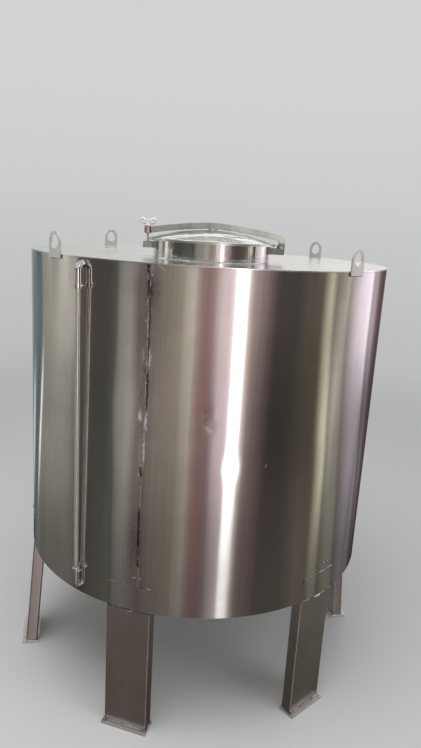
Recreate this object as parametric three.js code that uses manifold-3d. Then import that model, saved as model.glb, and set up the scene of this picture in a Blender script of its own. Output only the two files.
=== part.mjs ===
// Vertical stainless storage tank on six legs, with a clamped manway, lifting lugs and a side level gauge.
// Millimetres, +Z up. The origin is on the floor under the tank's axis, and the front is -Y.

import * as THREE from 'three';
import { mergeVertices } from 'three/addons/utils/BufferGeometryUtils.js';
import Module from 'manifold-3d';

const wasm = await Module();
wasm.setup();

// Driving dimensions
const gap = 0.3;
const cutOverrun = 1;
const shellRadius = 590;
const shellHeight = 1000;
const shellWall = 3;
const plateThickness = 3;
const shellSections = 6;
const facetsAround = 96;
const seamAzimuth = -15;

const legCount = 6;
const firstLegAzimuth = -78;
const legHeight = 415;
const legWidth = 140;
const legDepth = 38;
const legWall = 3;
const legLeans = [32, 0, 0, 32, 0, 0];
const footThickness = 8;
const footOuterMargin = 14;
const footInnerMargin = 6;
const footSideMargin = 4;
const padHeight = 78;
const padThickness = 2;
const padRise = 1;

const outletBore = 24;
const outletWall = 2;
const outletDrop = 46;
const ferruleRadius = 32;
const ferruleThickness = 6;
const ferruleSlope = 2;
const outletFacets = 32;

const lugCount = 4;
const firstLugAzimuth = -46.5;
const lugThickness = 5;
const lugRadius = 28;
const lugHoleRadius = 19.5;
const lugCentreRise = 33;
const lugDrop = 12;

const manwayCentre = new THREE.Vector2(5, -244);
const neckRadius = 177;
const neckWall = 3;
const neckHeight = 52;
const neckFacetsAround = 48;
const lidRadius = 191;
const lidThickness = 2.5;
const lidEdgeHeight = 58;
const lidCrownHeight = 87;
const lidSkirtDrop = 8;
const gasketInner = 169;
const gasketOuter = 179;

const barWidth = 24;
const barDepth = 18;
const barCrownHeight = 109;
const barArmSlope = 0.055;
const barArmCurve = 0.00036;
const barCrownEase = 12;
const boltReach = 196;
const pinReach = 208;
const pinHeight = 48;
const pinRadius = 5;
const pinPlay = 0.6;
const roundFacets = 24;
const boltRadius = 4.5;
const boltPlay = 0.8;
const bushRadius = 11;
const bushTop = 89;
const bushFacets = 32;

const gaugeTop = { azimuth: -34.4, standOff: 21, bendRadius: 18 };
const gaugeBottom = { azimuth: -35.2, standOff: 13, bendRadius: 11.5 };
const gaugePipeRadius = 9;
const gaugePipeWall = 1.5;
const gaugeTubeRadius = 7;
const gaugeTubeWall = 1.5;
const gaugeTopDrop = 16;
const gaugeTopStubEnd = 83;
const gaugeBottomRise = 24;
const gaugeBottomStubEnd = 88;
const gaugeTubeOverlap = 14;
const clipLength = 14;
const clipWall = 2.2;
const gaugeFacets = 16;

const degree = Math.PI / 180;
const shellBottom = legHeight;
const shellTop = shellBottom + shellHeight;
const plateTop = shellTop + plateThickness;

// Materials
function steel(color, roughness) {
  return new THREE.MeshStandardMaterial({ color, roughness, metalness: 1 });
}
const brushedSteel = steel(0xb9b2a8, 0.32);
const polishedSteel = steel(0xd2cfca, 0.12);
const plainSteel = steel(0xa9a6a4, 0.42);
const castSteel = steel(0xd8d6d0, 0.35);
const bronze = new THREE.MeshStandardMaterial({ color: 0xb08a5c, roughness: 0.4, metalness: 1 });
const clearTube = new THREE.MeshStandardMaterial({ color: 0xd9d8d2, roughness: 0.18, metalness: 0 });
const sealRubber = new THREE.MeshStandardMaterial({ color: 0xd6d3cb, roughness: 0.7, metalness: 0 });

// Geometry helpers
function closed(geometry) {
  const bare = geometry.index ? geometry.toNonIndexed() : geometry.clone();
  bare.deleteAttribute('normal');
  bare.deleteAttribute('uv');
  const merged = mergeVertices(bare, 1e-3);
  const index = merged.index.array;
  const position = merged.attributes.position;
  const kept = [];
  let volume = 0;
  const a = new THREE.Vector3();
  const b = new THREE.Vector3();
  const c = new THREE.Vector3();
  for (let i = 0; i < index.length; i += 3) {
    const [p, q, r] = [index[i], index[i + 1], index[i + 2]];
    if (p === q || q === r || r === p) continue;
    kept.push([p, q, r]);
    a.fromBufferAttribute(position, p);
    b.fromBufferAttribute(position, q);
    c.fromBufferAttribute(position, r);
    volume += a.dot(b.cross(c));
  }
  const order = volume < 0 ? [0, 2, 1] : [0, 1, 2];
  merged.setIndex(kept.flatMap((triangle) => order.map((corner) => triangle[corner])));
  return merged;
}

function solidOf(geometry) {
  const clean = closed(geometry);
  const mesh = new wasm.Mesh({
    numProp: 3,
    vertProperties: Float32Array.from(clean.attributes.position.array),
    triVerts: Uint32Array.from(clean.index.array),
  });
  return new wasm.Manifold(mesh);
}

function geometryOf(solid) {
  const mesh = solid.getMesh();
  const geometry = new THREE.BufferGeometry();
  geometry.setAttribute('position', new THREE.BufferAttribute(Float32Array.from(mesh.vertProperties), 3));
  geometry.setIndex(Array.from(mesh.triVerts));
  return geometry;
}

function fused(...geometries) {
  const [first, ...others] = geometries.map(solidOf);
  return geometryOf(others.reduce((sum, solid) => sum.add(solid), first));
}

function cut(geometry, ...tools) {
  return geometryOf(tools.map(solidOf).reduce((rest, tool) => rest.subtract(tool), solidOf(geometry)));
}

// A block by its lowest and highest corners.
function block(low, high) {
  const size = high.map((value, i) => value - low[i]);
  const geometry = new THREE.BoxGeometry(...size);
  return geometry.translate(...low.map((value, i) => value + size[i] / 2));
}

// A profile of [radius, height] points turned about the Z axis.
function turned(profile, segments) {
  const points = profile.map(([radius, height]) => new THREE.Vector2(radius, height));
  return new THREE.LatheGeometry(points, segments).rotateX(Math.PI / 2);
}

function ring(inner, outer, low, high, segments) {
  return turned([[inner, low], [outer, low], [outer, high], [inner, high], [inner, low]], segments);
}

function rod(radius, low, high, segments) {
  return turned([[0, low], [radius, low], [radius, high], [0, high]], segments);
}

// Points on a circle about the tank's axis, from one azimuth to another; azimuth 0 is the front.
function arcPoints(radius, from, to, steps) {
  return Array.from({ length: steps + 1 }, (_, i) => {
    const azimuth = (from + ((to - from) * i) / steps) * degree;
    return new THREE.Vector2(radius * Math.sin(azimuth), -radius * Math.cos(azimuth));
  });
}

function circlePoints(centre, radius, steps) {
  return arcPoints(radius, 0, 360, steps).slice(0, -1).map((point) => point.add(centre));
}

function extruded(shape, height) {
  return new THREE.ExtrudeGeometry(shape, { depth: height, bevelEnabled: false });
}

// A curved wall standing on z = 0: an annular sector of the tank's circle.
function curvedWall(inner, outer, from, to, steps, height) {
  const outline = [...arcPoints(outer, from, to, steps), ...arcPoints(inner, to, from, steps)];
  return extruded(new THREE.Shape(outline), height);
}

const group = new THREE.Group();

function add(parent, name, geometry, material) {
  const mesh = new THREE.Mesh(closed(geometry), material.clone());
  mesh.name = name;
  parent.add(mesh);
  return mesh;
}

function placedGroup(x, y, z, azimuth) {
  const placed = new THREE.Group();
  placed.position.set(x, y, z);
  placed.rotation.z = azimuth * degree;
  group.add(placed);
  return placed;
}

// Shell: one sheet rolled round and welded at the seam, kept as equal curved sections that start at the seam
function addShell() {
  const span = 360 / shellSections;
  const edgeAngle = gap / 2 / shellRadius / degree;
  for (let i = 0; i < shellSections; i += 1) {
    const from = seamAzimuth + i * span;
    const inner = shellRadius - shellWall;
    const steps = facetsAround / shellSections;
    const to = from + span - edgeAngle;
    const wall = curvedWall(inner, shellRadius, from + edgeAngle, to, steps, shellHeight);
    add(group, `shell_section_${i + 1}`, wall, brushedSteel).position.z = shellBottom;
  }
}

// Flat ends: the top plate lies on the shell, the bottom plate fits inside its lower edge
function addEnds() {
  const topPoints = arcPoints(shellRadius, seamAzimuth, seamAzimuth + 360, facetsAround).slice(0, -1);
  const top = new THREE.Shape(topPoints);
  top.holes.push(new THREE.Path(circlePoints(manwayCentre, neckRadius - neckWall, neckFacetsAround)));
  const topGeometry = extruded(top, plateThickness - gap);
  add(group, 'top_plate', topGeometry, brushedSteel).position.z = shellTop + gap;

  const bottomRadius = shellRadius - shellWall - gap;
  const bottomPoints = arcPoints(bottomRadius, seamAzimuth, seamAzimuth + 360, facetsAround).slice(0, -1);
  const bottom = new THREE.Shape(bottomPoints);
  bottom.holes.push(new THREE.Path(circlePoints(new THREE.Vector2(0, 0), outletBore, outletFacets)));
  add(group, 'bottom_plate', extruded(bottom, plateThickness), plainSteel).position.z = shellBottom;

  const outer = outletBore + outletWall;
  const outlet = turned([
    [outletBore, -gap],
    [outer, -gap],
    [outer, -outletDrop + ferruleThickness],
    [ferruleRadius, -outletDrop + ferruleThickness - ferruleSlope],
    [ferruleRadius, -outletDrop],
    [outletBore, -outletDrop],
    [outletBore, -gap],
  ], outletFacets);
  add(group, 'outlet_pipe', outlet, polishedSteel).position.z = shellBottom;
}

// Legs: folded box legs under the shell's edge, each on a foot plate, with a curved pad above it
function addLegs() {
  const faceRadius = Math.sqrt(shellRadius ** 2 - (legWidth / 2) ** 2);
  const legTop = legHeight - gap;
  const legBottom = footThickness + gap;
  const padHalfAngle = Math.asin(legWidth / 2 / shellRadius) / degree;
  for (let i = 0; i < legCount; i += 1) {
    const azimuth = firstLegAzimuth + (i * 360) / legCount;
    const lean = legLeans[i];
    const place = placedGroup(0, 0, 0, azimuth);

    const half = legWidth / 2;
    const section = new THREE.Shape([
      new THREE.Vector2(-half, -faceRadius),
      new THREE.Vector2(half, -faceRadius),
      new THREE.Vector2(half, -faceRadius + legDepth),
      new THREE.Vector2(-half, -faceRadius + legDepth),
    ]);
    section.holes.push(new THREE.Path([
      new THREE.Vector2(-half + legWall, -faceRadius + legWall),
      new THREE.Vector2(half - legWall, -faceRadius + legWall),
      new THREE.Vector2(half - legWall, -faceRadius + legDepth - legWall),
      new THREE.Vector2(-half + legWall, -faceRadius + legDepth - legWall),
    ]));
    const slope = lean / (legTop - legBottom);
    const leg = extruded(section, legTop - legBottom).translate(0, 0, legBottom - legTop);
    leg.applyMatrix4(new THREE.Matrix4().makeShear(0, 0, 0, 0, 0, slope));
    add(place, `leg_${i + 1}`, leg.translate(0, 0, legTop), plainSteel);

    const footFront = -faceRadius - lean;
    const foot = block(
      [-half - footSideMargin, footFront - footOuterMargin, 0],
      [half + footSideMargin, footFront + legDepth + footInnerMargin, footThickness],
    );
    add(place, `foot_plate_${i + 1}`, foot, plainSteel);

    const padInner = shellRadius + gap;
    const padOuter = padInner + padThickness;
    const padSteps = 8;
    const pad = curvedWall(padInner, padOuter, -padHalfAngle, padHalfAngle, padSteps, padHeight);
    add(place, `leg_pad_${i + 1}`, pad.translate(0, 0, shellBottom + padRise), brushedSteel);
  }
}

// Lifting lugs: flat eyes welded upright against the top of the shell
function addLugs() {
  for (let i = 0; i < lugCount; i += 1) {
    const place = placedGroup(0, 0, plateTop, firstLugAzimuth + (i * 360) / lugCount);
    const eye = new THREE.Shape();
    eye.moveTo(-lugRadius, -lugDrop);
    eye.lineTo(lugRadius, -lugDrop);
    eye.lineTo(lugRadius, lugCentreRise);
    eye.absarc(0, lugCentreRise, lugRadius, 0, Math.PI, false);
    const hole = new THREE.Path();
    hole.absarc(0, lugCentreRise, lugHoleRadius, 0, Math.PI * 2, true);
    eye.holes.push(hole);
    const settings = { depth: lugThickness, bevelEnabled: false, curveSegments: 20 };
    const geometry = new THREE.ExtrudeGeometry(eye, settings);
    geometry.rotateX(Math.PI / 2).translate(0, -shellRadius - gap, 0);
    add(place, `lifting_lug_${i + 1}`, geometry, plainSteel);
  }
}

// Manway neck with its hinge and latch brackets, in a group on the top plate at the manway's centre
const manway = placedGroup(manwayCentre.x, manwayCentre.y, plateTop, 0);
const neckContact = neckRadius + gap;

function addNeck() {
  const neck = ring(neckRadius - neckWall, neckRadius, gap, neckHeight, neckFacetsAround);
  add(manway, 'manway_neck', neck, polishedSteel);
}

function acrossPin(radius, halfLength, reach, height) {
  const pin = new THREE.CylinderGeometry(radius, radius, halfLength * 2, roundFacets);
  return pin.translate(reach, 0, height);
}

function addHingeBracket() {
  const cheekThickness = 5;
  const sideClearance = 1;
  const pinEnd = 4;
  const inside = barWidth / 2 + sideClearance;
  const outside = inside + cheekThickness;
  const low = 26;
  const shelf = 44;
  const eyeRadius = 10;
  const side = new THREE.Shape();
  side.moveTo(neckContact, low);
  side.lineTo(pinReach + eyeRadius, low);
  side.lineTo(pinReach + eyeRadius, pinHeight);
  side.absarc(pinReach, pinHeight, eyeRadius, 0, Math.PI, false);
  side.lineTo(pinReach - eyeRadius, shelf);
  side.lineTo(neckContact, shelf);
  const body = extruded(side, outside * 2).rotateX(Math.PI / 2).translate(0, outside, 0);
  const slot = block(
    [neckContact + cheekThickness, -inside, low - cutOverrun],
    [pinReach + eyeRadius + cutOverrun, inside, pinHeight + eyeRadius + cutOverrun],
  );
  const pinHole = acrossPin(pinRadius + gap, outside + cutOverrun, pinReach, pinHeight);
  add(manway, 'hinge_bracket', cut(body, slot, pinHole), plainSteel);

  add(manway, 'hinge_pin', acrossPin(pinRadius, outside + pinEnd, pinReach, pinHeight), plainSteel);
}

function addLatchBracket() {
  const shelfTop = 44;
  const shelfThickness = 7;
  const shelfMargin = 11;
  const halfWidth = 25;
  const gussetThickness = 4;
  const low = 26;
  const outerEnd = -boltReach - shelfMargin;
  const body = block([outerEnd, -halfWidth, low], [-neckContact, halfWidth, shelfTop]);
  const below = block(
    [outerEnd - cutOverrun, -halfWidth + gussetThickness, low - cutOverrun],
    [-neckContact + cutOverrun, halfWidth - gussetThickness, shelfTop - shelfThickness],
  );
  const slotHalfLength = 17;
  const slotHalfWidth = 6.5;
  const slot = block(
    [-boltReach - slotHalfWidth, -slotHalfLength, low],
    [-boltReach + slotHalfWidth, slotHalfLength, shelfTop + cutOverrun],
  );
  add(manway, 'latch_bracket', cut(body, below, slot), plainSteel);
}

// Cover: domed lid with a turned-down rim, its seal, and the bowed bar that carries it from the hinge pin
function addLid() {
  const rimWidth = 5;
  const rimBevel = 1;
  const rimDrop = 3;
  const crownRadius = lidRadius - rimWidth;
  const rise = lidCrownHeight - lidEdgeHeight;
  const sphere = (crownRadius ** 2 + rise ** 2) / (2 * rise);
  const dome = (radius, offset) => lidCrownHeight - sphere + Math.sqrt((sphere - offset) ** 2 - radius ** 2);
  const domeSteps = 7;
  const seatMargin = 1;
  const seatInner = gasketInner - seatMargin;
  const seatHeight = lidEdgeHeight - lidThickness;
  const upper = [];
  const lower = [];
  for (let i = 0; i <= domeSteps; i += 1) {
    const share = i / domeSteps;
    upper.push([crownRadius * share, dome(crownRadius * share, 0)]);
    lower.push([seatInner * share, dome(seatInner * share, lidThickness)]);
  }
  const skirtInner = lidRadius - lidThickness;
  const skirtLow = lidEdgeHeight - lidSkirtDrop;
  const profile = [
    ...upper,
    [lidRadius - rimBevel, lidEdgeHeight - rimBevel],
    [lidRadius, lidEdgeHeight - rimDrop],
    [lidRadius, skirtLow],
    [skirtInner, skirtLow],
    [skirtInner, seatHeight],
    [seatInner, seatHeight],
    ...lower.reverse(),
  ];
  add(manway, 'manway_lid', turned(profile, neckFacetsAround), polishedSteel);

  const seal = ring(gasketInner, gasketOuter, neckHeight + gap, seatHeight - gap, neckFacetsAround);
  add(manway, 'manway_seal', seal, sealRubber);

  const bossRadius = 14;
  const bossClearance = 0.8;
  const bossTop = barCrownHeight - barDepth - bossClearance;
  add(manway, 'lid_boss', rod(bossRadius, lidCrownHeight + gap, bossTop, roundFacets), plainSteel);
}

function addBar() {
  const middle = barCrownHeight - barDepth / 2;
  // Two nearly straight arms that fall away from an eased crown
  const fall = (x) => barArmSlope * (Math.hypot(x, barCrownEase) - barCrownEase) + barArmCurve * x ** 2;
  const bowHeight = (x) => middle - fall(x);
  const legOffset = 2;
  const legEnd = 10;
  const legCentre = pinReach + legOffset;
  const bowSteps = 26;
  const cornerRadius = 12;
  const cornerSteps = 4;
  const cornerTop = bowHeight(legCentre - cornerRadius);
  const centreLine = [];
  for (let i = 0; i <= bowSteps; i += 1) {
    const x = -boltReach + ((legCentre - cornerRadius + boltReach) * i) / bowSteps;
    centreLine.push([x, bowHeight(x)]);
  }
  for (let i = 1; i <= cornerSteps; i += 1) {
    const turn = (i / cornerSteps) * 90 * degree;
    centreLine.push([
      legCentre - cornerRadius + cornerRadius * Math.sin(turn),
      cornerTop - cornerRadius + cornerRadius * Math.cos(turn),
    ]);
  }
  centreLine.push([legCentre, pinHeight - legEnd]);

  // The bar's side view: the centre line offset by half its depth to each side
  const offset = (distance) => centreLine.map(([x, z], i) => {
    const before = centreLine[Math.max(i - 1, 0)];
    const after = centreLine[Math.min(i + 1, centreLine.length - 1)];
    const along = new THREE.Vector2(after[0] - before[0], after[1] - before[1]).normalize();
    return new THREE.Vector2(x - along.y * distance, z + along.x * distance);
  });
  const outline = new THREE.Shape([...offset(-barDepth / 2), ...offset(barDepth / 2).reverse()]);
  const bar = extruded(outline, barWidth).rotateX(Math.PI / 2).translate(0, barWidth / 2, 0);

  const bushBottom = bowHeight(-boltReach) - barDepth / 2;
  const bushPlace = rod(bushRadius + gap, bushBottom - barDepth, bushTop + barDepth, bushFacets);
  bushPlace.translate(-boltReach, 0, 0);
  const beyondTop = barCrownHeight + barDepth;
  const beyond = block([-boltReach - barDepth, -barWidth, 0], [-boltReach, barWidth, beyondTop]);
  const pinHole = acrossPin(pinRadius + pinPlay, barWidth, pinReach, pinHeight);
  add(manway, 'clamp_bar', cut(bar, bushPlace, beyond, pinHole), plainSteel);

  const bush = ring(boltRadius + boltPlay, bushRadius, bushBottom, bushTop, bushFacets);
  add(manway, 'bolt_bush', bush.translate(-boltReach, 0, 0), bronze);
}

// Clamp bolt: a hammer-head bolt that hangs in the bar's bush, with a cast wing nut
function addClampBolt() {
  const headLow = 26;
  const headHigh = 33;
  const headHalfLength = 14;
  const headHalfWidth = 4.5;
  const nutLow = bushTop + gap;
  const nutHigh = nutLow + 20;
  const threadEnd = 3;
  const shank = rod(boltRadius, headLow, nutHigh + threadEnd, roundFacets);
  const head = block([-headHalfWidth, -headHalfLength, headLow], [headHalfWidth, headHalfLength, headHigh]);
  const bolt = fused(shank, head).translate(-boltReach, 0, 0);
  add(manway, 'clamp_bolt', bolt, plainSteel);

  const hub = turned([
    [0, nutLow],
    [10, nutLow],
    [8.5, nutLow + 6],
    [7.5, nutHigh - 2],
    [6.5, nutHigh],
    [0, nutHigh],
  ], roundFacets);
  // Each wing is a rounded loop beside the hub, drawn as its side view
  const wingThickness = 7;
  const wingReach = 25.5;
  const outline = new THREE.Shape();
  outline.moveTo(4, nutLow + 4);
  outline.lineTo(11, nutLow + 5);
  outline.quadraticCurveTo(22, nutLow + 6, wingReach, nutLow + 14);
  outline.quadraticCurveTo(wingReach + 1, nutHigh + 7, 18, nutHigh + 6);
  outline.quadraticCurveTo(10, nutHigh + 4, 4, nutHigh - 3);
  const opening = new THREE.Path();
  opening.absellipse(17.5, nutLow + 15.5, 4, 5.5, 0, Math.PI * 2, true, 0);
  outline.holes.push(opening);
  const settings = { depth: wingThickness, bevelEnabled: false, curveSegments: 8 };
  const wing = new THREE.ExtrudeGeometry(outline, settings);
  wing.rotateX(Math.PI / 2).translate(0, wingThickness / 2, 0);
  const oppositeWing = wing.clone().rotateZ(Math.PI);
  const bore = rod(boltRadius + gap, nutLow - cutOverrun, nutHigh + cutOverrun, roundFacets);
  const nut = cut(fused(hub, wing, oppositeWing), bore).translate(-boltReach, 0, 0);
  add(manway, 'wing_nut', nut, castSteel);
}

// Level gauge: a clear tube held between two bent pipe stubs on the left of the front.
// The lower stub is shorter and a little further round, so the tube leans towards it.
function addGauge() {
  const topPlace = placedGroup(0, 0, 0, gaugeTop.azimuth);
  const bottomPlace = placedGroup(0, 0, 0, gaugeBottom.azimuth);
  const topLine = -shellRadius - gaugeTop.standOff;
  const bottomLine = -shellRadius - gaugeBottom.standOff;
  const pipeSection = new THREE.Shape();
  pipeSection.absarc(0, 0, gaugePipeRadius, 0, Math.PI * 2, false);
  const bore = new THREE.Path();
  bore.absarc(0, 0, gaugePipeRadius - gaugePipeWall, 0, Math.PI * 2, true);
  pipeSection.holes.push(bore);

  // A pipe out of the shell, round a quarter bend and along the gauge's line
  const circleHandle = 0.5523;
  const stub = (standLine, bendRadius, height, way, endHeight) => {
    const path = new THREE.CurvePath();
    const start = new THREE.Vector3(0, -shellRadius - gap, height);
    const bendStart = new THREE.Vector3(0, standLine + bendRadius, height);
    const corner = new THREE.Vector3(0, standLine, height);
    const bendEnd = new THREE.Vector3(0, standLine, height + way * bendRadius);
    const handleIn = bendStart.clone().lerp(corner, circleHandle);
    const handleOut = bendEnd.clone().lerp(corner, circleHandle);
    path.add(new THREE.LineCurve3(start, bendStart));
    path.add(new THREE.CubicBezierCurve3(bendStart, handleIn, handleOut, bendEnd));
    path.add(new THREE.LineCurve3(bendEnd, new THREE.Vector3(0, standLine, endHeight)));
    const settings = { steps: gaugeFacets, extrudePath: path, curveSegments: 6 };
    return new THREE.ExtrudeGeometry(pipeSection, settings);
  };
  const topHeight = plateTop - gaugeTopDrop;
  const topEnd = plateTop - gaugeTopStubEnd;
  const bottomHeight = shellBottom + gaugeBottomRise;
  const bottomEnd = shellBottom + gaugeBottomStubEnd;
  const topStub = stub(topLine, gaugeTop.bendRadius, topHeight, -1, topEnd);
  const bottomStub = stub(bottomLine, gaugeBottom.bendRadius, bottomHeight, 1, bottomEnd);
  add(topPlace, 'gauge_top_elbow', topStub, polishedSteel);
  add(bottomPlace, 'gauge_bottom_elbow', bottomStub, polishedSteel);

  // The tube's line runs through the middles of its two overlaps with the stubs
  const up = new THREE.Vector3(0, 0, 1);
  const middleOfOverlap = (line, azimuth, height) =>
    new THREE.Vector3(0, line, height).applyAxisAngle(up, azimuth * degree);
  const low = middleOfOverlap(bottomLine, gaugeBottom.azimuth, bottomEnd - gaugeTubeOverlap / 2);
  const high = middleOfOverlap(topLine, gaugeTop.azimuth, topEnd + gaugeTubeOverlap / 2);
  const halfLength = (low.distanceTo(high) + gaugeTubeOverlap) / 2;
  const lean = new THREE.Quaternion().setFromUnitVectors(up, high.clone().sub(low).normalize());
  const middle = low.clone().lerp(high, 0.5);
  const tubeInner = gaugeTubeRadius - gaugeTubeWall;
  const tube = ring(tubeInner, gaugeTubeRadius, -halfLength, halfLength, gaugeFacets);
  add(group, 'gauge_tube', tube.applyQuaternion(lean).translate(...middle.toArray()), clearTube);

  const clipMargin = 2;
  const clip = (place, line, name, clipLow) => {
    const inner = gaugePipeRadius + gap;
    const collar = ring(inner, inner + clipWall, clipLow, clipLow + clipLength, gaugeFacets);
    add(place, name, collar.translate(0, line, 0), plainSteel);
  };
  clip(topPlace, topLine, 'gauge_top_clip', topEnd + clipMargin);
  clip(bottomPlace, bottomLine, 'gauge_bottom_clip', bottomEnd - clipMargin - clipLength);
}

addShell();
addEnds();
addLegs();
addLugs();
addNeck();
addHingeBracket();
addLatchBracket();
addLid();
addBar();
addClampBolt();
addGauge();

export default group;
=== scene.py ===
"""An upright steel storage tank on six box legs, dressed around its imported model.

Metres, +Z up, with the front towards -Y.
"""

import math

import bmesh
import bpy
from mathutils import Matrix, Vector, noise


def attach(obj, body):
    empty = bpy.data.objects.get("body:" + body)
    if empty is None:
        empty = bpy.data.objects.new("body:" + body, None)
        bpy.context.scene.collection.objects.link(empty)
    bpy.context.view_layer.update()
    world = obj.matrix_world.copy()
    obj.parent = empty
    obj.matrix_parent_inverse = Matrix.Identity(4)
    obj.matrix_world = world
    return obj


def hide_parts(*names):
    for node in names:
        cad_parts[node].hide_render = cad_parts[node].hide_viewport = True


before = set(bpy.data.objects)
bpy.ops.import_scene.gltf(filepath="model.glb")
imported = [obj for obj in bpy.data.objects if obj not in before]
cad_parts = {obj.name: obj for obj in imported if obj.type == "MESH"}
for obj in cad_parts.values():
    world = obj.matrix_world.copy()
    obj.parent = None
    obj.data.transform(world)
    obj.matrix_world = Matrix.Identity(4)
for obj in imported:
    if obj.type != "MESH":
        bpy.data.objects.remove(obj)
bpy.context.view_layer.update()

# Camera: held at eye height in front of the tank, looking a little down and slightly turned.
# The lens and the angles were worked out from the tank's rims and legs in the photograph.
CAMERA_PLACE = (0.0, -2.137, 1.517)
CAMERA_PITCH = 0.2373
CAMERA_YAW = 0.0124
CAMERA_ROLL = 0.0597
LENS_LONG_SIDE = 36.0
LENS_LENGTH = LENS_LONG_SIDE * 611.1 / 748

camera = bpy.data.objects.new("camera", bpy.data.cameras.new("camera"))
camera.data.sensor_width = LENS_LONG_SIDE
camera.data.lens = LENS_LENGTH
camera.data.clip_start = 0.05
camera.data.clip_end = 100
camera.matrix_world = (
    Matrix.Translation(CAMERA_PLACE)
    @ Matrix.Rotation(-CAMERA_YAW, 4, "Z")
    @ Matrix.Rotation(math.pi / 2 - CAMERA_PITCH, 4, "X")
    @ Matrix.Rotation(CAMERA_ROLL, 4, "Z")
)
bpy.context.scene.collection.objects.link(camera)
bpy.context.scene.camera = camera
bpy.context.scene.view_settings.view_transform = "Standard"


# Shader maths: a Value is a node's output that is added, multiplied and divided like a number.
# A Shader makes every other node from its type, its settings and its inputs.
class Value:
    def __init__(self, shader, socket):
        self.shader = shader
        self.socket = socket

    def __add__(self, other):
        return self.shader.math("ADD", self, other)

    def __sub__(self, other):
        return self.shader.math("SUBTRACT", self, other)

    def __rsub__(self, other):
        return self.shader.math("SUBTRACT", other, self)

    def __mul__(self, other):
        return self.shader.math("MULTIPLY", self, other)

    def __truediv__(self, other):
        return self.shader.math("DIVIDE", self, other)

    def __abs__(self):
        return self.shader.math("ABSOLUTE", self)

    __radd__ = __add__
    __rmul__ = __mul__


class Shader:
    def __init__(self, owner):
        owner.use_nodes = True
        self.tree = owner.node_tree
        self.tree.nodes.clear()

    def node(self, kind, settings, inputs, output=0):
        made = self.tree.nodes.new("ShaderNode" + kind)
        for key, value in settings.items():
            if key == "stops":
                self.set_stops(made.color_ramp, value)
            else:
                setattr(made, key, value)
        for key, value in inputs.items():
            if isinstance(value, Value):
                self.tree.links.new(value.socket, made.inputs[key])
            else:
                made.inputs[key].default_value = value
        return Value(self, made.outputs[output] if made.outputs else None)

    def set_stops(self, ramp, stops):
        for end, element in ((0, ramp.elements[0]), (-1, ramp.elements[-1])):
            place, color = stops[end]
            element.position = place
            element.color = (*color, 1)
        for place, color in stops[1:-1]:
            ramp.elements.new(place).color = (*color, 1)

    def ramp(self, place, listed, start=0, span=1):
        """A colour ramp of listed places, each with red, green and blue or with one share for all three."""
        stops = [((at - start) / span, tone * (3 // len(tone))) for at, *tone in listed]
        return self.node("ValToRGB", {"stops": stops}, {0: place})

    def math(self, operation, *values):
        return self.node("Math", {"operation": operation}, dict(enumerate(values)))

    def split(self, vector):
        outputs = self.node("SeparateXYZ", {}, {0: vector}).socket.node.outputs
        return [Value(self, outputs[i]) for i in range(3)]

    def join(self, x, y, z):
        return self.node("CombineXYZ", {}, {0: x, 1: y, 2: z})

    def between(self, value, low, high):
        """0 below low, 1 above high and a smooth rise between them; low may be above high."""
        settings = {"interpolation_type": "SMOOTHSTEP"}
        return self.node("MapRange", settings, {"Value": value, "From Min": low, "From Max": high})

    def mixed(self, share, first, second):
        return self.node("Mix", {"data_type": "RGBA"}, {0: share, 6: first, 7: second}, 2)

    def scaled(self, color, share):
        return self.node("VectorMath", {"operation": "SCALE"}, {0: color, "Scale": share})

    def length(self, vector):
        return self.node("VectorMath", {"operation": "LENGTH"}, {0: vector}, "Value")

    def grain(self, vector, scale, detail=2.0, roughness=0.5):
        inputs = {"Vector": vector, "Scale": scale, "Detail": detail, "Roughness": roughness}
        return self.node("TexNoise", {"normalize": True}, inputs)


# Studio: a plain pale floor, two soft lights from above and a surround of tall soft panels.
# The polished steel shows the surround as upright bands; the floor itself stays plain.
FLOOR_COLOR = (0.60, 0.60, 0.595, 1)
FLOOR_COLOR_LIGHT = (0.618, 0.618, 0.61285, 1)
BACKDROP = (0.64, 0.65, 0.655, 1)
BACKDROP_LOW = (0.475, 0.48, 0.485, 1)
SOFT_LIGHT = (0.50, 0.51, 0.52, 1)
CEILING_COLOR = (0.58, 0.60, 0.62, 1)
CEILING_PANEL = (2.2, 2.2, 2.2, 1)
LEVEL_DARK = (0.075, 0.075, 0.07, 1)
LEVEL_PLAIN = (0.30, 0.29, 0.235, 1)
LEVEL_WARM = (0.42, 0.36, 0.34, 1)
# The bands by degrees round from the front, each with its red, green and blue.
LEFT_BANDS = (
    (-180, 0.7, 0.72, 0.74), (-160, 0.55, 0.58, 0.6), (-147, 0.22, 0.25, 0.27), (-135, 0.17, 0.22, 0.25),
    (-127, 0.15, 0.19, 0.2), (-124, 0.34, 0.35, 0.31), (-112, 0.44, 0.44, 0.39), (-104, 0.585, 0.575, 0.51),
    (-99, 0.66, 0.64, 0.58), (-87.5, 0.66, 0.64, 0.58), (-84.5, 0.13, 0.12, 0.11), (-72, 0.09, 0.08, 0.07),
    (-62, 0.08, 0.08, 0.07), (-55.7, 0.12, 0.12, 0.1), (-53.7, 0.31, 0.31, 0.285), (-48, 0.41, 0.4, 0.37),
    (-44.5, 0.37, 0.35, 0.32), (-42, 0.28, 0.25, 0.24), (-38, 0.2, 0.165, 0.155), (-29, 0.245, 0.215, 0.185),
    (-22, 0.31, 0.27, 0.24), (-15, 0.43, 0.38, 0.32), (-11, 0.69, 0.64, 0.55), (-8, 0.78, 0.73, 0.64),
    (-6, 0.62, 0.52, 0.47), (-4, 0.46, 0.32, 0.3), (0, 0.37, 0.22, 0.21),
)
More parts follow.
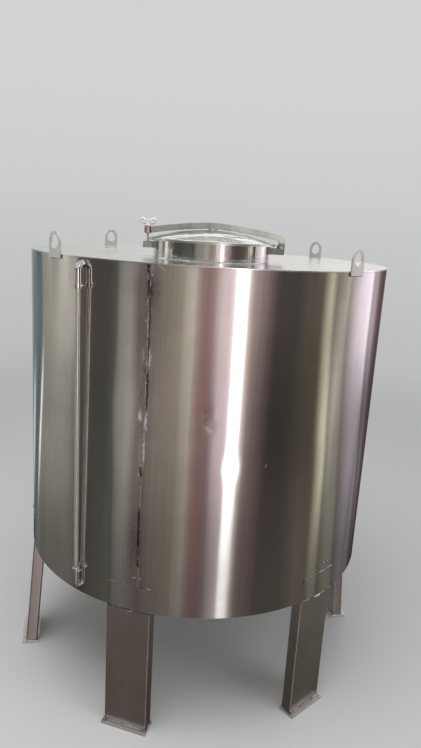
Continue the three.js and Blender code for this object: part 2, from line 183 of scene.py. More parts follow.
RIGHT_BANDS = (
    (0, 0.37, 0.22, 0.21), (4, 0.5, 0.32, 0.33), (8, 0.98, 0.8, 0.83), (12, 1.02, 0.82, 0.88),
    (16.4, 1.12, 0.96, 1.02), (18.2, 4.2, 4.15, 4.2), (22.8, 4.2, 4.15, 4.05), (25, 1.1, 0.92, 0.87),
    (28, 0.58, 0.455, 0.435), (33, 0.38, 0.3, 0.29), (38, 0.22, 0.165, 0.165), (43, 0.095, 0.08, 0.075),
    (56, 0.082, 0.072, 0.064), (64, 0.13, 0.11, 0.093), (74, 0.135, 0.118, 0.09), (79, 0.6, 0.57, 0.44),
    (82, 0.66, 0.63, 0.51), (85, 0.24, 0.23, 0.2), (90, 0.51, 0.5, 0.43), (95, 0.64, 0.61, 0.53),
    (98, 0.42, 0.37, 0.36), (102, 0.7, 0.62, 0.66), (109, 1.11, 1.02, 1.11), (114, 1.26, 1.13, 1.28),
    (123, 1.58, 1.45, 1.62), (126, 0.56, 0.46, 0.55), (132, 0.6, 0.51, 0.6), (138, 0.22, 0.15, 0.15),
    (150, 0.08, 0.056, 0.062), (166, 0.3, 0.3, 0.32), (180, 0.7, 0.72, 0.74),
)
# Thin lines at the bands' left end: degrees round, half-width, where they start and are full, colour.
EDGE_LINES = (
    (-122.5, 2.0, -11, -16, (1.70, 1.78, 1.68, 1)),
    (-140.5, 5.0, -11, -18, (0.80, 0.88, 0.90, 1)),
)
# The share of a band's brightness that is left in its middle and at its foot, by degrees round.
MIDDLE_SHARES = (
    (-180, 1.0), (-130, 0.75), (-110, 0.64), (-93, 0.48), (-88, 0.31), (-83, 0.85), (-70, 0.95), (-52, 0.96),
    (-46, 1.15), (-41, 1.25), (-30, 1.32), (-20, 0.95), (-10, 0.67), (-4, 0.88), (1, 0.85), (6, 0.43),
    (10, 0.86), (17, 0.86), (25, 0.84), (31, 0.52), (50, 0.54), (58, 0.69), (75, 0.67), (82, 1.12),
    (87, 1.55), (91, 1.3), (97, 0.6), (110, 0.4), (122, 0.3), (128, 0.16), (142, 0.4), (180, 1.0),
)
LOW_SHARES = (
    (-180, 0.35), (-145, 0.5), (-130, 0.22), (-95, 0.24), (-86, 0.2), (-78, 0.6), (-70, 1.05), (-60, 1.18),
    (-56, 0.55), (-46, 0.4), (-41, 0.55), (-32, 0.62), (-20, 0.5), (-10, 0.35), (0, 0.52), (7, 0.18),
    (11, 0.3), (16, 0.41), (22, 0.3), (30, 0.24), (38, 0.52), (45, 0.84), (60, 0.93), (72, 1.1),
    (83, 0.9), (88, 0.27), (102, 0.38), (114, 0.2), (128, 0.1), (142, 0.07), (180, 0.3),
)
# What comes up from the floor, by degrees round, each with its red, green and blue.
FLOOR_GLOWS = (
    (-180, 0.26, 0.215, 0.21), (-155, 0.22, 0.185, 0.18), (-125, 0.09, 0.075, 0.065),
    (-90, 0.04, 0.034, 0.028), (-60, 0.09, 0.078, 0.066), (-40, 0.105, 0.088, 0.078),
    (8, 0.12, 0.1, 0.09), (16, 0.5, 0.47, 0.46), (24, 0.5, 0.47, 0.46), (32, 0.1, 0.085, 0.075),
    (60, 0.09, 0.078, 0.066), (90, 0.075, 0.064, 0.054), (125, 0.05, 0.042, 0.036),
    (144, 0.015, 0.013, 0.012), (162, 0.03, 0.026, 0.024), (180, 0.26, 0.215, 0.21),
)
# The level bands behind the tank by height, each with its red, green and blue.
REAR_BANDS = (
    (0.0, 0.66, 0.66, 0.64), (0.07, 0.72, 0.72, 0.7), (0.1, 0.92, 0.92, 0.89), (0.15, 0.6, 0.6, 0.58),
    (0.18, 1.1, 1.1, 1.07), (0.25, 0.9, 0.9, 0.87), (0.28, 0.34, 0.35, 0.34), (0.32, 0.5, 0.5, 0.49),
    (0.35, 1.25, 1.25, 1.21), (0.46, 1.0, 1.0, 0.97), (0.5, 0.5, 0.5, 0.49), (0.62, 0.8, 0.8, 0.78),
)
FLOOR_RADIUS = 12

world = bpy.data.worlds.new("studio")
bpy.context.scene.world = world
sky = Shader(world)
to_x, to_y, to_z = sky.split(sky.node("TexCoord", {}, {}, "Generated"))
turn = sky.math("ARCTAN2", to_x, to_y * -1.0) / math.pi


def sine(degrees):
    return math.sin(math.radians(degrees))


def rising(first, last):
    """0 at the first angle above the horizon and 1 at the last, in degrees."""
    return sky.between(to_z, sine(first), sine(last))


def facing(centre, first, last):
    """0 at the first distance from a direction and 1 at the last, in half turns round from the front."""
    return sky.between(abs(turn - centre), first, last)


below = sky.math("MINIMUM", to_z - sine(-10), 0.0)
lean_left = sky.between(turn, -0.55, -0.70) * -0.33
lean_right = sky.between(turn, 0.28, 0.40) * 0.15 + sky.between(turn, 0.52, 0.60) * 0.09
leaning = turn + below * (lean_left + lean_right)
left_bands = sky.ramp(leaning + 1.0, LEFT_BANDS, -180, 180)
right_bands = sky.ramp(leaning, RIGHT_BANDS, 0, 180)
for azimuth, reach, high, low, tone in EDGE_LINES:
    line = sky.between(abs(leaning * 180.0 - azimuth), reach, reach * 0.4)
    line = line * rising(high, low)
    line = line * rising(-27, -20)
    left_bands = sky.mixed(line, left_bands, tone)
bright = sky.mixed(sky.math("GREATER_THAN", turn, 0.0), left_bands, right_bands)
all_round = turn * 0.5 + 0.5
middle_share = sky.ramp(all_round, MIDDLE_SHARES, -180, 360)
low_share = sky.ramp(all_round, LOW_SHARES, -180, 360)
lit = 1.0 + (middle_share - 1.0) * rising(-7, -16)
lit = lit + (low_share - lit) * rising(-19, -30)
floor_glow = sky.ramp(all_round, FLOOR_GLOWS, -180, 360)
sides_round = sky.mixed(rising(-31, -44), sky.scaled(bright, lit), floor_glow)

# What upright faces mirror is level with the tank: uneven stripes, with a dark, a plain and a warm side.
stripes = sky.grain(sky.join(turn * 21.0, 0.0, 0.0), 1.0, 3.0, 0.6)
striped = facing(-0.66, 0.22, 0.16) + facing(0.47, 0.12, 0.07)
dark_share = facing(-0.33, 0.17, 0.15)
dark_share = dark_share * (0.95 - sky.between(stripes, 0.50, 0.62) * 0.4)
level_sides = sky.scaled(sides_round, 1.0 + striped * (sky.between(stripes, 0.45, 0.53) * 1.5 - 0.85))
for share, tone in (
    (facing(-0.06, 0.13, 0.10) * 0.7, LEVEL_PLAIN),
    (facing(0.137, 0.030, 0.020) * 0.75, LEVEL_WARM),
    (dark_share, LEVEL_DARK),
):
    level_sides = sky.mixed(share, level_sides, tone)
sides_round = sky.mixed(rising(-3.5, -2.9), sides_round, level_sides)

panel_x = sky.math("PINGPONG", to_x / (to_z + 0.02) * 0.9 + 0.35, 1.0)
panel_y = sky.math("PINGPONG", to_y / (to_z + 0.02) * 0.9 + 0.2, 1.0)
panels = sky.between(panel_x, 0.66, 0.72) * sky.between(panel_y, 0.66, 0.72)
ceiling = sky.mixed(panels, CEILING_COLOR, CEILING_PANEL)
around_steel = sky.mixed(rising(9, 24), sides_round, ceiling)
unevenness = sky.grain(sky.join(to_x * 4.0, 0.0, to_z * 5.0), 1.0, 3.0)
rear_bands = sky.ramp(to_z + (unevenness - 0.5) * 0.22, REAR_BANDS)
rear_side = sky.scaled(rear_bands, sky.between(to_x, -0.32, 0.32) * 0.33 + 0.74)
behind = facing(0.0, 0.76, 0.86) * sky.between(to_z, -0.04, 0.01)
seen_in_steel = sky.mixed(behind, around_steel, rear_side)
ray = sky.node("LightPath", {}, {}, "Is Camera Ray")
mirrored, seen_through = (
    Value(sky, ray.socket.node.outputs[kind]) for kind in ("Is Glossy Ray", "Is Transmission Ray")
)
indirect = sky.mixed(sky.math("MAXIMUM", mirrored, seen_through), SOFT_LIGHT, seen_in_steel)
backdrop = sky.mixed(rising(-20, 14), BACKDROP_LOW, BACKDROP)
glow = sky.node("Background", {}, {"Color": sky.mixed(ray, indirect, backdrop)})
sky.node("OutputWorld", {}, {"Surface": glow})


class Finish(Shader):
    """A material, with the point of the piece that it colours as place, x, y and z."""

    def __init__(self, name):
        self.material = bpy.data.materials.new(name)
        super().__init__(self.material)
        self.place = self.node("TexCoord", {}, {}, "Object")
        self.x, self.y, self.z = self.split(self.place)

    def stretched(self, x, y, z, detail=3.0, roughness=0.5):
        """Noise with its own number of grains to the metre along each axis."""
        return self.grain(self.join(self.x * x, self.y * y, self.z * z), 1.0, detail, roughness)

    def surface(self, color, metallic, roughness, bump=None, others=None):
        """Its one surface. A bump is given as strength, depth and the value that is its height."""
        inputs = {"Base Color": color, "Metallic": metallic, "Roughness": roughness, **(others or {})}
        if bump:
            bump_inputs = dict(zip(("Strength", "Distance", "Height"), bump))
            inputs["Normal"] = self.node("Bump", {}, bump_inputs)
        made = self.node("BsdfPrincipled", {}, inputs)
        self.node("OutputMaterial", {}, {"Surface": made})
        return made


floor_bm = bmesh.new()
bmesh.ops.create_circle(floor_bm, cap_ends=True, segments=96, radius=FLOOR_RADIUS)
floor_mesh = bpy.data.meshes.new("studio_floor")
floor_bm.to_mesh(floor_mesh)
floor_bm.free()
floor = bpy.data.objects.new("studio_floor", floor_mesh)
bpy.context.scene.collection.objects.link(floor)
floor.visible_glossy = False
ground = Finish("pale_floor")
floor_tone = ground.mixed(ground.grain(ground.place, 1.3, 4.0), FLOOR_COLOR, FLOOR_COLOR_LIGHT)
floor_surface = ground.surface(floor_tone, 0.0, 1.0, others={"Specular IOR Level": 0.0})
clear = ground.node("BsdfTransparent", {}, {})
far_out = ground.between(ground.length(ground.place), 1.6, 5.5)
faded = ground.node("MixShader", {}, {0: far_out, 1: floor_surface, 2: clear})
ground.tree.links.new(faded.socket, ground.tree.get_output_node("ALL").inputs["Surface"])
floor_mesh.materials.append(ground.material)

for light_name, place, size, power in (
    ("overhead_light", (-0.7, -1.0, 4.2), 3.2, 95),
    ("side_light", (2.8, -2.0, 3.2), 2.0, 28),
):
    lamp = bpy.data.lights.new(light_name, "AREA")
    lamp.shape = "DISK"
    lamp.size = size
    lamp.energy = power
    light = bpy.data.objects.new(light_name, lamp)
    light.location = place
    light.rotation_euler = (Vector((0, 0, 0.5)) - Vector(place)).to_track_quat("-Z", "Y").to_euler()
    light.visible_glossy = False
    bpy.context.scene.collection.objects.link(light)

# Shell: one sheet of 3 mm stainless steel, rolled round, butted at a single upright seam and welded.
# Rolling and welding leave it slightly uneven, and a knock has left a shallow dent beside the highlight.
SHELL_RADIUS = 0.590
SHELL_WALL = 0.003
SHELL_LOW = 0.415
SHELL_HIGH = 1.415
SEAM_AZIMUTH = math.radians(-15)
SHELL_STEPS = 360
SHELL_ROWS = 72
SHELL_INNER_ROWS = 10
LIP = 0.0005
SHELL_WAVE = 0.0011
SEAM_SINK = 0.0009
# Dents: degrees round from the front, height, width, rise and depth.
SHELL_DENTS = (
    (8.6, 0.880, 0.014, 0.022, 0.0006),
    (3.0, 0.995, 0.010, 0.010, 0.0005),
    (1.0, 1.035, 0.010, 0.014, 0.0004),
    (-21.0, 1.02, 0.030, 0.090, 0.0008),
    (-48.0, 0.74, 0.030, 0.050, 0.0007),
    (33.0, 0.80, 0.040, 0.120, 0.0007),
    (140.0, 1.00, 0.030, 0.060, 0.0008),
)
# Marks left by grinding and by the heat of welding, most of them beside the seam, in millimetres:
# place round the shell from the front, height, half-width, half-height, tilt in degrees, strength.
GROUND_MARKS = (
    (-145, 1405, 5, 12, 0, 0.35), (-121, 1408, 1.6, 17, 51, 0.6), (-147, 1407, 1.5, 11, -14, 0.45),
    (-145, 1388, 3, 5, 0, 0.6), (-150, 1367, 4.5, 12, 0, 0.5), (-151.9, 1245, 1.5, 62, 0, 0.8),
    (-158, 1269, 2.5, 4, 0, 0.5), (-147, 1167, 5.5, 34, 0, 1.0), (-141, 1172, 4.5, 22, 0, 0.45),
    (-162, 1176, 4.5, 22, 0, 0.38), (-152.3, 1075, 1.3, 48, 0, 0.65), (-150, 1000, 6, 34, 0, 1.0),
    (-166, 1007, 6.5, 18, 0, 0.95), (-152, 915, 4, 58, 0, 0.85), (-162, 900, 5, 60, 0, 0.35),
    (-162.5, 840, 3, 7, 0, 0.6), (-160, 580, 1.3, 26, 0, 0.5), (-155, 575, 1.2, 18, 0, 0.35),
    (21, 992, 1.8, 20, 58, 0.55), (26, 985, 6, 20, 62, 0.22), (191, 884, 1.3, 7, -20, 0.45),
    (185, 843, 1.2, 6, 15, 0.35),
)
DARK_MARKS = (
    (-146.5, 1350, 8, 46, 0, 0.85), (-136, 1350, 16, 50, 0, 0.25), (-154.8, 1385, 1.6, 34, 0, 0.8),
    (-145.5, 1245, 3, 60, 0, 0.5), (-154.5, 1135, 7, 9, 0, 0.6), (-147, 1078, 4.5, 50, 0, 0.6),
    (-164.5, 1070, 6, 34, 0, 0.3), (-164.5, 1240, 17, 70, 0, 0.22), (-156.3, 830, 5, 11, 0, 0.7),
    (-160, 745, 4.5, 22, 0, 0.55), (-158.6, 625, 10, 85, 0, 0.65), (-167, 640, 24, 90, 0, 0.38),
    (12, 1036, 4, 9, 40, 0.3), (8, 1046, 9, 13, 30, 0.16), (14, 1018, 8, 5, 60, 0.14),
    (73, 975, 1.5, 2, 0, 0.6), (-457, 1038, 1.5, 5, -30, 0.5), (-474, 867, 1.6, 7, -20, 0.5),
    (-427, 1092, 1.3, 3, 0, 0.40),
)


def lifted(height):
    return Vector((0, 0, height))


def around(radius, azimuth, height):
    """A point at an azimuth in radians: 0 is the front, positive towards +X."""
    return Vector((radius * math.sin(azimuth), -radius * math.cos(azimuth), height))


def spun(profile, steps, closed=True, centre=(0, 0)):
    """A profile of (radius, height) points turned about an upright axis."""
    bm = bmesh.new()
    verts = [bm.verts.new((radius, 0, height)) for radius, height in profile]
    edges = [bm.edges.new(pair) for pair in zip(verts, verts[1:])]
    if closed:
        edges.append(bm.edges.new((verts[-1], verts[0])))
    geom = verts + edges
    bmesh.ops.spin(
        bm, geom=geom, cent=(0, 0, 0), axis=(0, 0, 1), angle=2 * math.pi, steps=steps, use_merge=True
    )
    bmesh.ops.remove_doubles(bm, verts=bm.verts, dist=1e-6)
    bmesh.ops.recalc_face_normals(bm, faces=bm.faces)
    bmesh.ops.translate(bm, verts=bm.verts, vec=(*centre, 0))
    return bm


def dressed(name, bm, finish, slot, *nodes, body="tank", smooth=35):
    """Makes the mesh an object that stands for those nodes and moves with that body."""
    mesh = bpy.data.meshes.new(name)
    bm.to_mesh(mesh)
    bm.free()
    mesh.shade_smooth()
    mesh.set_sharp_from_angle(angle=math.radians(smooth))
    mesh.materials.append(finish.material)
    piece = bpy.data.objects.new(name, mesh)
    bpy.context.scene.collection.objects.link(piece)
    piece.modifiers.new("even_shading", "WEIGHTED_NORMAL").keep_sharp = True
    if nodes:
        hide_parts(*nodes)
    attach(piece, body)
    return piece


def bell(distance, width):
    return math.exp(-0.5 * (distance / width) ** 2)


def along_sheet(azimuth, other):
    """How far two azimuths lie apart along the sheet."""
    return abs((azimuth - other + math.pi) % (2 * math.pi) - math.pi) * SHELL_RADIUS


def shell_hollow(azimuth, height):
    """How far the sheet lies inside its true circle at a point; its two edges are held true."""
    place = around(SHELL_RADIUS, azimuth, height)
    wide = noise.noise(place * 2.6) * 0.5 + 0.5
    fine = noise.noise(place * 9.0 + Vector((3, 1, 2))) * 0.5 + 0.5
    depth = SHELL_WAVE * (wide * 0.75 + fine * 0.25)
    depth += SEAM_SINK * bell(along_sheet(azimuth, SEAM_AZIMUTH), 0.016)
    for dent_azimuth, dent_height, width, rise, dent_depth in SHELL_DENTS:
        across = along_sheet(azimuth, math.radians(dent_azimuth))
        depth += dent_depth * bell(across, width) * bell(height - dent_height, rise)
    return depth * max(0, min(1, (height - SHELL_LOW) / 0.06, (SHELL_HIGH - height) / 0.04))


sheet_profile = [(SHELL_RADIUS - LIP, SHELL_LOW), (SHELL_RADIUS, SHELL_LOW + LIP)]
for row in range(1, SHELL_ROWS):
    sheet_profile.append((SHELL_RADIUS, SHELL_LOW + (SHELL_HIGH - SHELL_LOW) * row / SHELL_ROWS))
sheet_profile += [(SHELL_RADIUS, SHELL_HIGH - LIP), (SHELL_RADIUS - LIP, SHELL_HIGH)]
for row in range(SHELL_INNER_ROWS + 1):
    height = SHELL_HIGH + (SHELL_LOW - SHELL_HIGH) * row / SHELL_INNER_ROWS
    sheet_profile.append((SHELL_RADIUS - SHELL_WALL, height))
sheet = spun(sheet_profile, SHELL_STEPS)
for vert in sheet.verts:
    azimuth = math.atan2(vert.co.x, -vert.co.y)
    vert.co -= around(shell_hollow(azimuth, vert.co.z), azimuth, 0)

rolled = Finish("rolled_steel")
sheet_across = rolled.math("ARCTAN2", rolled.x, rolled.y * -1.0) * SHELL_RADIUS
sheet_map = rolled.join(sheet_across, rolled.z, 0.0)
rolling = rolled.stretched(3.0, 3.0, 260.0)
broad_rolling = rolled.stretched(1.2, 1.2, 40.0, 2.0)
drawn = rolled.stretched(110.0, 110.0, 1.4, 3.0, 0.6)
smudge = rolled.grain(rolled.place, 5.5, 5.0, 0.6)
ragged = rolled.grain(rolled.join(sheet_across * 330.0, rolled.z * 60.0, 0.0), 1.0, 3.0, 0.65)


def marked(marks):
    """How much of the strongest of some ragged-edged marks covers a point of the sheet."""
    covered = 0.0
    for across, height, half_width, half_height, tilt, strength in marks:
        inputs = {
            "Vector": sheet_map,
            "Location": (across / 1000, height / 1000, 0),
            "Rotation": (0, 0, math.radians(tilt)),
            "Scale": (half_width / 1000, half_height / 1000, 1),
        }
        reach = rolled.length(rolled.node("Mapping", {"vector_type": "TEXTURE"}, inputs))
        covered = rolled.math("MAXIMUM", rolled.between(reach + ragged * 3.4, 3.0, 1.9) * strength, covered)
    return covered


ground_share = marked(GROUND_MARKS)
near_seam = rolled.between(abs(sheet_across - SEAM_AZIMUTH * SHELL_RADIUS), 0.016, 0.002)
near_seam = near_seam * rolled.between(ragged, 0.62, 0.40) * 0.35
heated = rolled.math("MAXIMUM", marked(DARK_MARKS), near_seam)
tone_share = rolled.between(smudge * 0.7 + drawn * 0.3, 0.36, 0.70)
sheet_tone = rolled.mixed(tone_share, (0.675, 0.65, 0.625, 1), (0.585, 0.56, 0.535, 1))
sheet_tone = rolled.mixed(heated, sheet_tone, (0.13, 0.115, 0.12, 1))
rolled.surface(
    rolled.mixed(ground_share, sheet_tone, (0.88, 0.83, 0.82, 1)),
    1.0 - ground_share * 0.35,
    0.085 + smudge * 0.06 + rolling * 0.02 + heated * 0.10 + ground_share * 0.36,
    (0.05, 0.0006, rolling * 0.6 + broad_rolling * 0.8 + drawn * 1.2),
    {"Anisotropic": 0.9, "Anisotropic Rotation": 0.25},
)
sections = [f"shell_section_{i}" for i in range(1, 7)]
dressed("rolled_shell", sheet, rolled, "brushed_shell", *sections)

# Seam weld: a hand-laid bead down the whole shell, rough and dark with heat, ground back in places.
# The bead stands a little proud of the sheet, wanders slightly and swells where the welder paused.
SEAM_STEP = 0.0022
SEAM_WIDTH = 0.0034
SEAM_HEIGHT = 0.0019
# Its course: height, and millimetres to the side of the seam.
SEAM_COURSE = (
    (0.415, 0.5), (0.526, -3.0), (0.62, -4.5), (0.733, -5.2), (0.79, -5.0), (0.83, -2.5), (0.866, -5.0),
    (0.94, -5.0), (0.99, -1.0), (1.03, 4.5), (1.08, 6.3), (1.18, 6.0), (1.28, 5.6), (1.36, 1.5),
    (1.418, 0.0),
)
SEAM_GROUND = ((0.415, 0.560), (0.870, 1.035), (1.135, 1.198))
# Runs of height where the bead's left side is painted pale as a highlight.
SEAM_PAINTED_HIGHLIGHTS = ((0.870, 0.960), (1.000, 1.110), (1.130, 1.330), (1.372, 1.392))
SEAM_FAINT = ((0.400, 0.556), (0.742, 0.836), (0.862, 1.022))


def carried(stations, section, closed=False):
    """A flat section carried through stations of (centre, half-width, half-height), then capped or joined."""
    bm = bmesh.new()
    verts = [bm.verts.new((x, y, 0)) for x, y in section]
    geom = verts + [bm.edges.new(pair) for pair in zip(verts, verts[1:] + verts[:1])]
    stations = stations + stations[:1] if closed else stations
    steps = len(stations) - 1
    bmesh.ops.spin(bm, geom=geom, cent=(0, 0, 0), axis=(0, 0, 1), dvec=(0, 0, 1), angle=0, steps=steps)
    for vert in bm.verts:
        centre, wide, high = stations[round(vert.co.z)]
        vert.co = centre + wide * vert.co.x + high * vert.co.y
    bmesh.ops.remove_doubles(bm, verts=bm.verts, dist=1e-6)
    bmesh.ops.holes_fill(bm, edges=[edge for edge in bm.edges if edge.is_boundary])
    bmesh.ops.recalc_face_normals(bm, faces=bm.faces)
    return bm


def full_turn(steps):
    """The angles of that many even steps round, in radians."""
    return [2 * math.pi * i / steps for i in range(steps)]


def round_section(sides):
    return [(math.cos(angle), math.sin(angle)) for angle in full_turn(sides)]


def bead(points, outs, width, height, ripple=0.3, sides=6, closed=False):
    """A weld bead that swells and shrinks as it runs along points, with outs away from the metal."""
    stations = []
    for i, (point, out) in enumerate(zip(points, outs)):
        along = points[min(i + 1, len(points) - 1)] - points[max(i - 1, 0)]
        swell = 1 + ripple * noise.noise(point * 150) + 0.5 * ripple * noise.noise(point * 45)
        wide = along.cross(out).normalized() * width * swell
        stations.append((point, wide, out.normalized() * height * swell))
    return carried(stations, round_section(sides), closed)


seam_stations = []
seam_steps = round((SHELL_HIGH - SHELL_LOW - 0.004) / SEAM_STEP)
for i in range(seam_steps + 1):
    height = SHELL_LOW + 0.002 + i * SEAM_STEP
    wander = 0.0006 * noise.noise((0, 0, height * 30)) + 0.0004 * noise.noise((4, 0, height * 70))
    for (low, low_side), (high, high_side) in zip(SEAM_COURSE, SEAM_COURSE[1:]):
        if low <= height <= high:
            share = (height - low) / (high - low)
            share = share * share * (3 - 2 * share)
            wander += (low_side + (high_side - low_side) * share) / 1000
            break
    seam_turn = SEAM_AZIMUTH + wander / SHELL_RADIUS
    ground_off = any(low < height < high for low, high in SEAM_GROUND)
    swell = 1 + 0.45 * noise.noise((1, 5, height * 130)) + 0.3 * noise.noise((2, 2, height * 30))
    width = SEAM_WIDTH * swell * (0.6 if ground_off else 1)
    rise = SEAM_HEIGHT * swell * (0.3 if ground_off else 1)
    on_sheet = around(SHELL_RADIUS - shell_hollow(seam_turn, height), seam_turn, height)
    seam_stations.append((on_sheet, around(width, seam_turn + math.pi / 2, 0), around(rise, seam_turn, 0)))

scorched = Finish("seam_metal")
scorched_mottle = scorched.grain(scorched.place, 230.0, 3.0, 0.6)
scorched_patch = scorched.grain(scorched.place, 28.0, 2.0)
scorched_stops = (
    (0.0, 0.025, 0.02, 0.024), (0.46, 0.06, 0.05, 0.054), (0.56, 0.16, 0.135, 0.13), (0.66, 0.48, 0.44, 0.42),
    (1.0, 0.70, 0.67, 0.65),
)
scorched_tone = scorched.ramp(scorched_mottle * 0.6 + scorched_patch * 0.4, scorched_stops)
course_span = SHELL_HIGH - SHELL_LOW
course_shades = [(height, (sideways + 10) / 20) for height, sideways in SEAM_COURSE]
course_place = (scorched.z - SHELL_LOW) / course_span
course = scorched.ramp(course_place, course_shades, SHELL_LOW, course_span) * 20.0 - 10.0
seam_arc = (scorched.math("ARCTAN2", scorched.x, scorched.y * -1.0) - SEAM_AZIMUTH) * (SHELL_RADIUS * 1000)
across = seam_arc - course + (scorched_mottle - 0.5) * 6.0


def in_runs(height, listed):
    """1 where the height is inside one of the listed runs, with short soft ends."""
    inside = 0.0
    for low, high in listed:
        over_low = scorched.between(height, low - 0.004, low + 0.004)
        under_high = scorched.between(height, high + 0.004, high - 0.004)
        inside = scorched.math("MAXIMUM", over_low * under_high, inside)
    return inside


# Painted highlight: in those runs the left side of the bead is coloured pale.
painted_seam_highlight = in_runs(scorched.z, SEAM_PAINTED_HIGHLIGHTS)
painted_seam_highlight = painted_seam_highlight * scorched.between(across, 0.3, -0.7) * scorched.between(scorched_mottle, 0.40, 0.50)
scorched_tone = scorched.mixed(painted_seam_highlight, scorched_tone, (0.86, 0.82, 0.80, 1))
faint = in_runs(scorched.z + (scorched_mottle - 0.5) * 0.05, SEAM_FAINT)
scorched_tone = scorched.mixed(faint * 0.72, scorched_tone, (0.56, 0.53, 0.51, 1))
scorched.surface(scorched_tone, 0.95, 0.30 + scorched_mottle * 0.25, (0.6, 0.0008, scorched_mottle))
seam = carried(seam_stations, round_section(10))
dressed("seam_weld", seam, scorched, "brushed_shell", smooth=60)

# Top: a flat disc of the same sheet, laid on the shell and welded all round, with the manway cut through.
# Welding has drawn it into very shallow waves; its rim weld is ground almost flush with the shell.
PLATE_HIGH = 1.418
PLATE_THICK = 0.0027
PLATE_RINGS = 22
PLATE_STEPS = 180
PLATE_WAVE = 0.0012
MANWAY = Vector((0.005, -0.244, 0))
NECK_INNER = 0.174
NECK_OUTER = 0.177
RIM_WELD_RADIUS = 0.5888
RIM_WELD_HEIGHT = 1.4152
RIM_WELD_STEPS = 720

disc = bmesh.new()
bmesh.ops.create_circle(disc, cap_ends=False, segments=PLATE_STEPS, radius=SHELL_RADIUS)
mouth = bmesh.ops.create_circle(disc, cap_ends=False, segments=PLATE_STEPS, radius=NECK_INNER)["verts"]
bmesh.ops.translate(disc, verts=mouth, vec=MANWAY)
bmesh.ops.bridge_loops(disc, edges=disc.edges)
spokes = [edge for edge in disc.edges if not edge.is_boundary]
bmesh.ops.subdivide_edges(disc, edges=spokes, cuts=PLATE_RINGS, use_grid_fill=True)
for vert in disc.verts:
    vert.co.z = PLATE_HIGH
lower = bmesh.ops.extrude_face_region(disc, geom=disc.faces[:])["geom"]
lower_verts = [part for part in lower if isinstance(part, bmesh.types.BMVert)]
bmesh.ops.translate(disc, verts=lower_verts, vec=(0, 0, -PLATE_THICK))
bmesh.ops.recalc_face_normals(disc, faces=disc.faces)
for vert in disc.verts:
    flat = Vector((vert.co.x, vert.co.y, 0))
    from_rim = SHELL_RADIUS - flat.length
    from_mouth = (flat - MANWAY).length - NECK_OUTER
    ease = min(1, max(0, from_rim / 0.06), max(0, from_mouth / 0.05))
    vert.co.z -= PLATE_WAVE * ease * (noise.noise(flat * 3.4) * 0.5 + 0.5)

plate = Finish("plate_steel")
plate_rolling = plate.grain(plate.join(plate.x * 2.0, plate.y * 120.0, 0.0), 1.0, 1.0)
plate_smudge = plate.grain(plate.place, 6.5, 5.0, 0.62)
dusty = plate.between(plate_smudge * 0.8 + plate.grain(plate.place, 70.0, 2.0) * 0.2, 0.46, 0.68)
plate.surface(
    plate.mixed(dusty, (0.88, 0.87, 0.85, 1), (0.79, 0.78, 0.755, 1)),
    1.0 - dusty * 0.12,
    0.16 + plate_smudge * 0.12 + dusty * 0.08,
    (0.02, 0.0004, plate_rolling),
)
dressed("top_disc", disc, plate, "brushed_shell", "top_plate")

weld = Finish("weld_metal")
weld_mottle = weld.grain(weld.place, 190.0, 3.0, 0.6)
weld_stretch = weld.grain(weld.place, 34.0, 2.0)
weld_stops = (
    (0.0, 0.05, 0.045, 0.05), (0.4, 0.12, 0.105, 0.11), (0.5, 0.34, 0.3, 0.29), (0.6, 0.7, 0.67, 0.65),
    (1.0, 0.86, 0.84, 0.82),
)
weld_tone = weld.ramp(weld_mottle * 0.55 + weld_stretch * 0.45, weld_stops)
# Painted highlight: weld metal just under the shell's lower edge, and at the tops of the legs on the right,
# is coloured pale and made hardly metallic so that it shows bright.
painted_highlight_under_edge = weld.between(weld.z, 0.4128, 0.4118) * weld.between(weld.z, 0.400, 0.403)
painted_highlight_right_legs = weld.between(weld.x, 0.25, 0.28) * weld.between(weld_stretch, 0.40, 0.52)
painted_highlight_right_legs = painted_highlight_right_legs * weld.between(weld.z, 0.404, 0.407) * weld.between(weld.z, 0.4175, 0.4165)
painted_weld_highlight = weld.math("MAXIMUM", painted_highlight_under_edge, painted_highlight_right_legs * 0.8)
weld.surface(
    weld.mixed(painted_weld_highlight, weld_tone, (0.93, 0.90, 0.87, 1)),
    0.95 - painted_weld_highlight * 0.9,
    0.28 + weld_mottle * 0.25,
    (0.6, 0.0008, weld_mottle),
)
rim_points = [around(RIM_WELD_RADIUS, azimuth, RIM_WELD_HEIGHT) for azimuth in full_turn(RIM_WELD_STEPS)]
rim_outs = [around(1, azimuth, 0) for azimuth in full_turn(RIM_WELD_STEPS)]
rim_bead = bead(rim_points, rim_outs, 0.0013, 0.0009, 0.5, closed=True)
dressed("rim_weld", rim_bead, weld, "brushed_shell", smooth=60)

# Base: a flat disc just inside the shell's lower edge, with a short drain pipe welded through its middle.
# The pipe is turned and polished and ends in a thick lip that a pipe clamp grips.
BASE_RADIUS = 0.5867
BASE_LOW = 0.415
BASE_HIGH = 0.418
DRAIN_BORE = 0.024
DRAIN_OUTER = 0.026
DRAIN_LIP = 0.032
DRAIN_TOP = 0.4147
DRAIN_END = 0.369

satin = Finish("satin_steel")
satin_grit = satin.stretched(260.0, 260.0, 9.0)
satin_cloud = satin.grain(satin.place, 11.0, 4.0, 0.6)
satin.surface(
    satin.mixed(satin.between(satin_cloud, 0.36, 0.70), (0.80, 0.78, 0.76, 1), (0.68, 0.66, 0.64, 1)),
    0.75,
    0.30 + satin_cloud * 0.14 + satin_grit * 0.06,
    (0.12, 0.0004, satin_grit),
)
polished = Finish("polished_steel")
polished_haze = polished.grain(polished.place, 26.0, 4.0, 0.6)
polished.surface(
    polished.mixed(polished_haze, (0.74, 0.72, 0.70, 1), (0.66, 0.64, 0.62, 1)),
    1.0,
    0.05 + polished_haze * 0.10,
    (0.04, 0.0004, polished.grain(polished.place, 420.0, 1.0)),
)
base_profile = [
    (DRAIN_BORE, BASE_LOW), (BASE_RADIUS, BASE_LOW), (BASE_RADIUS, BASE_HIGH), (DRAIN_BORE, BASE_HIGH),
]
dressed("base_disc", spun(base_profile, 180), satin, "plain_steel", "bottom_plate")
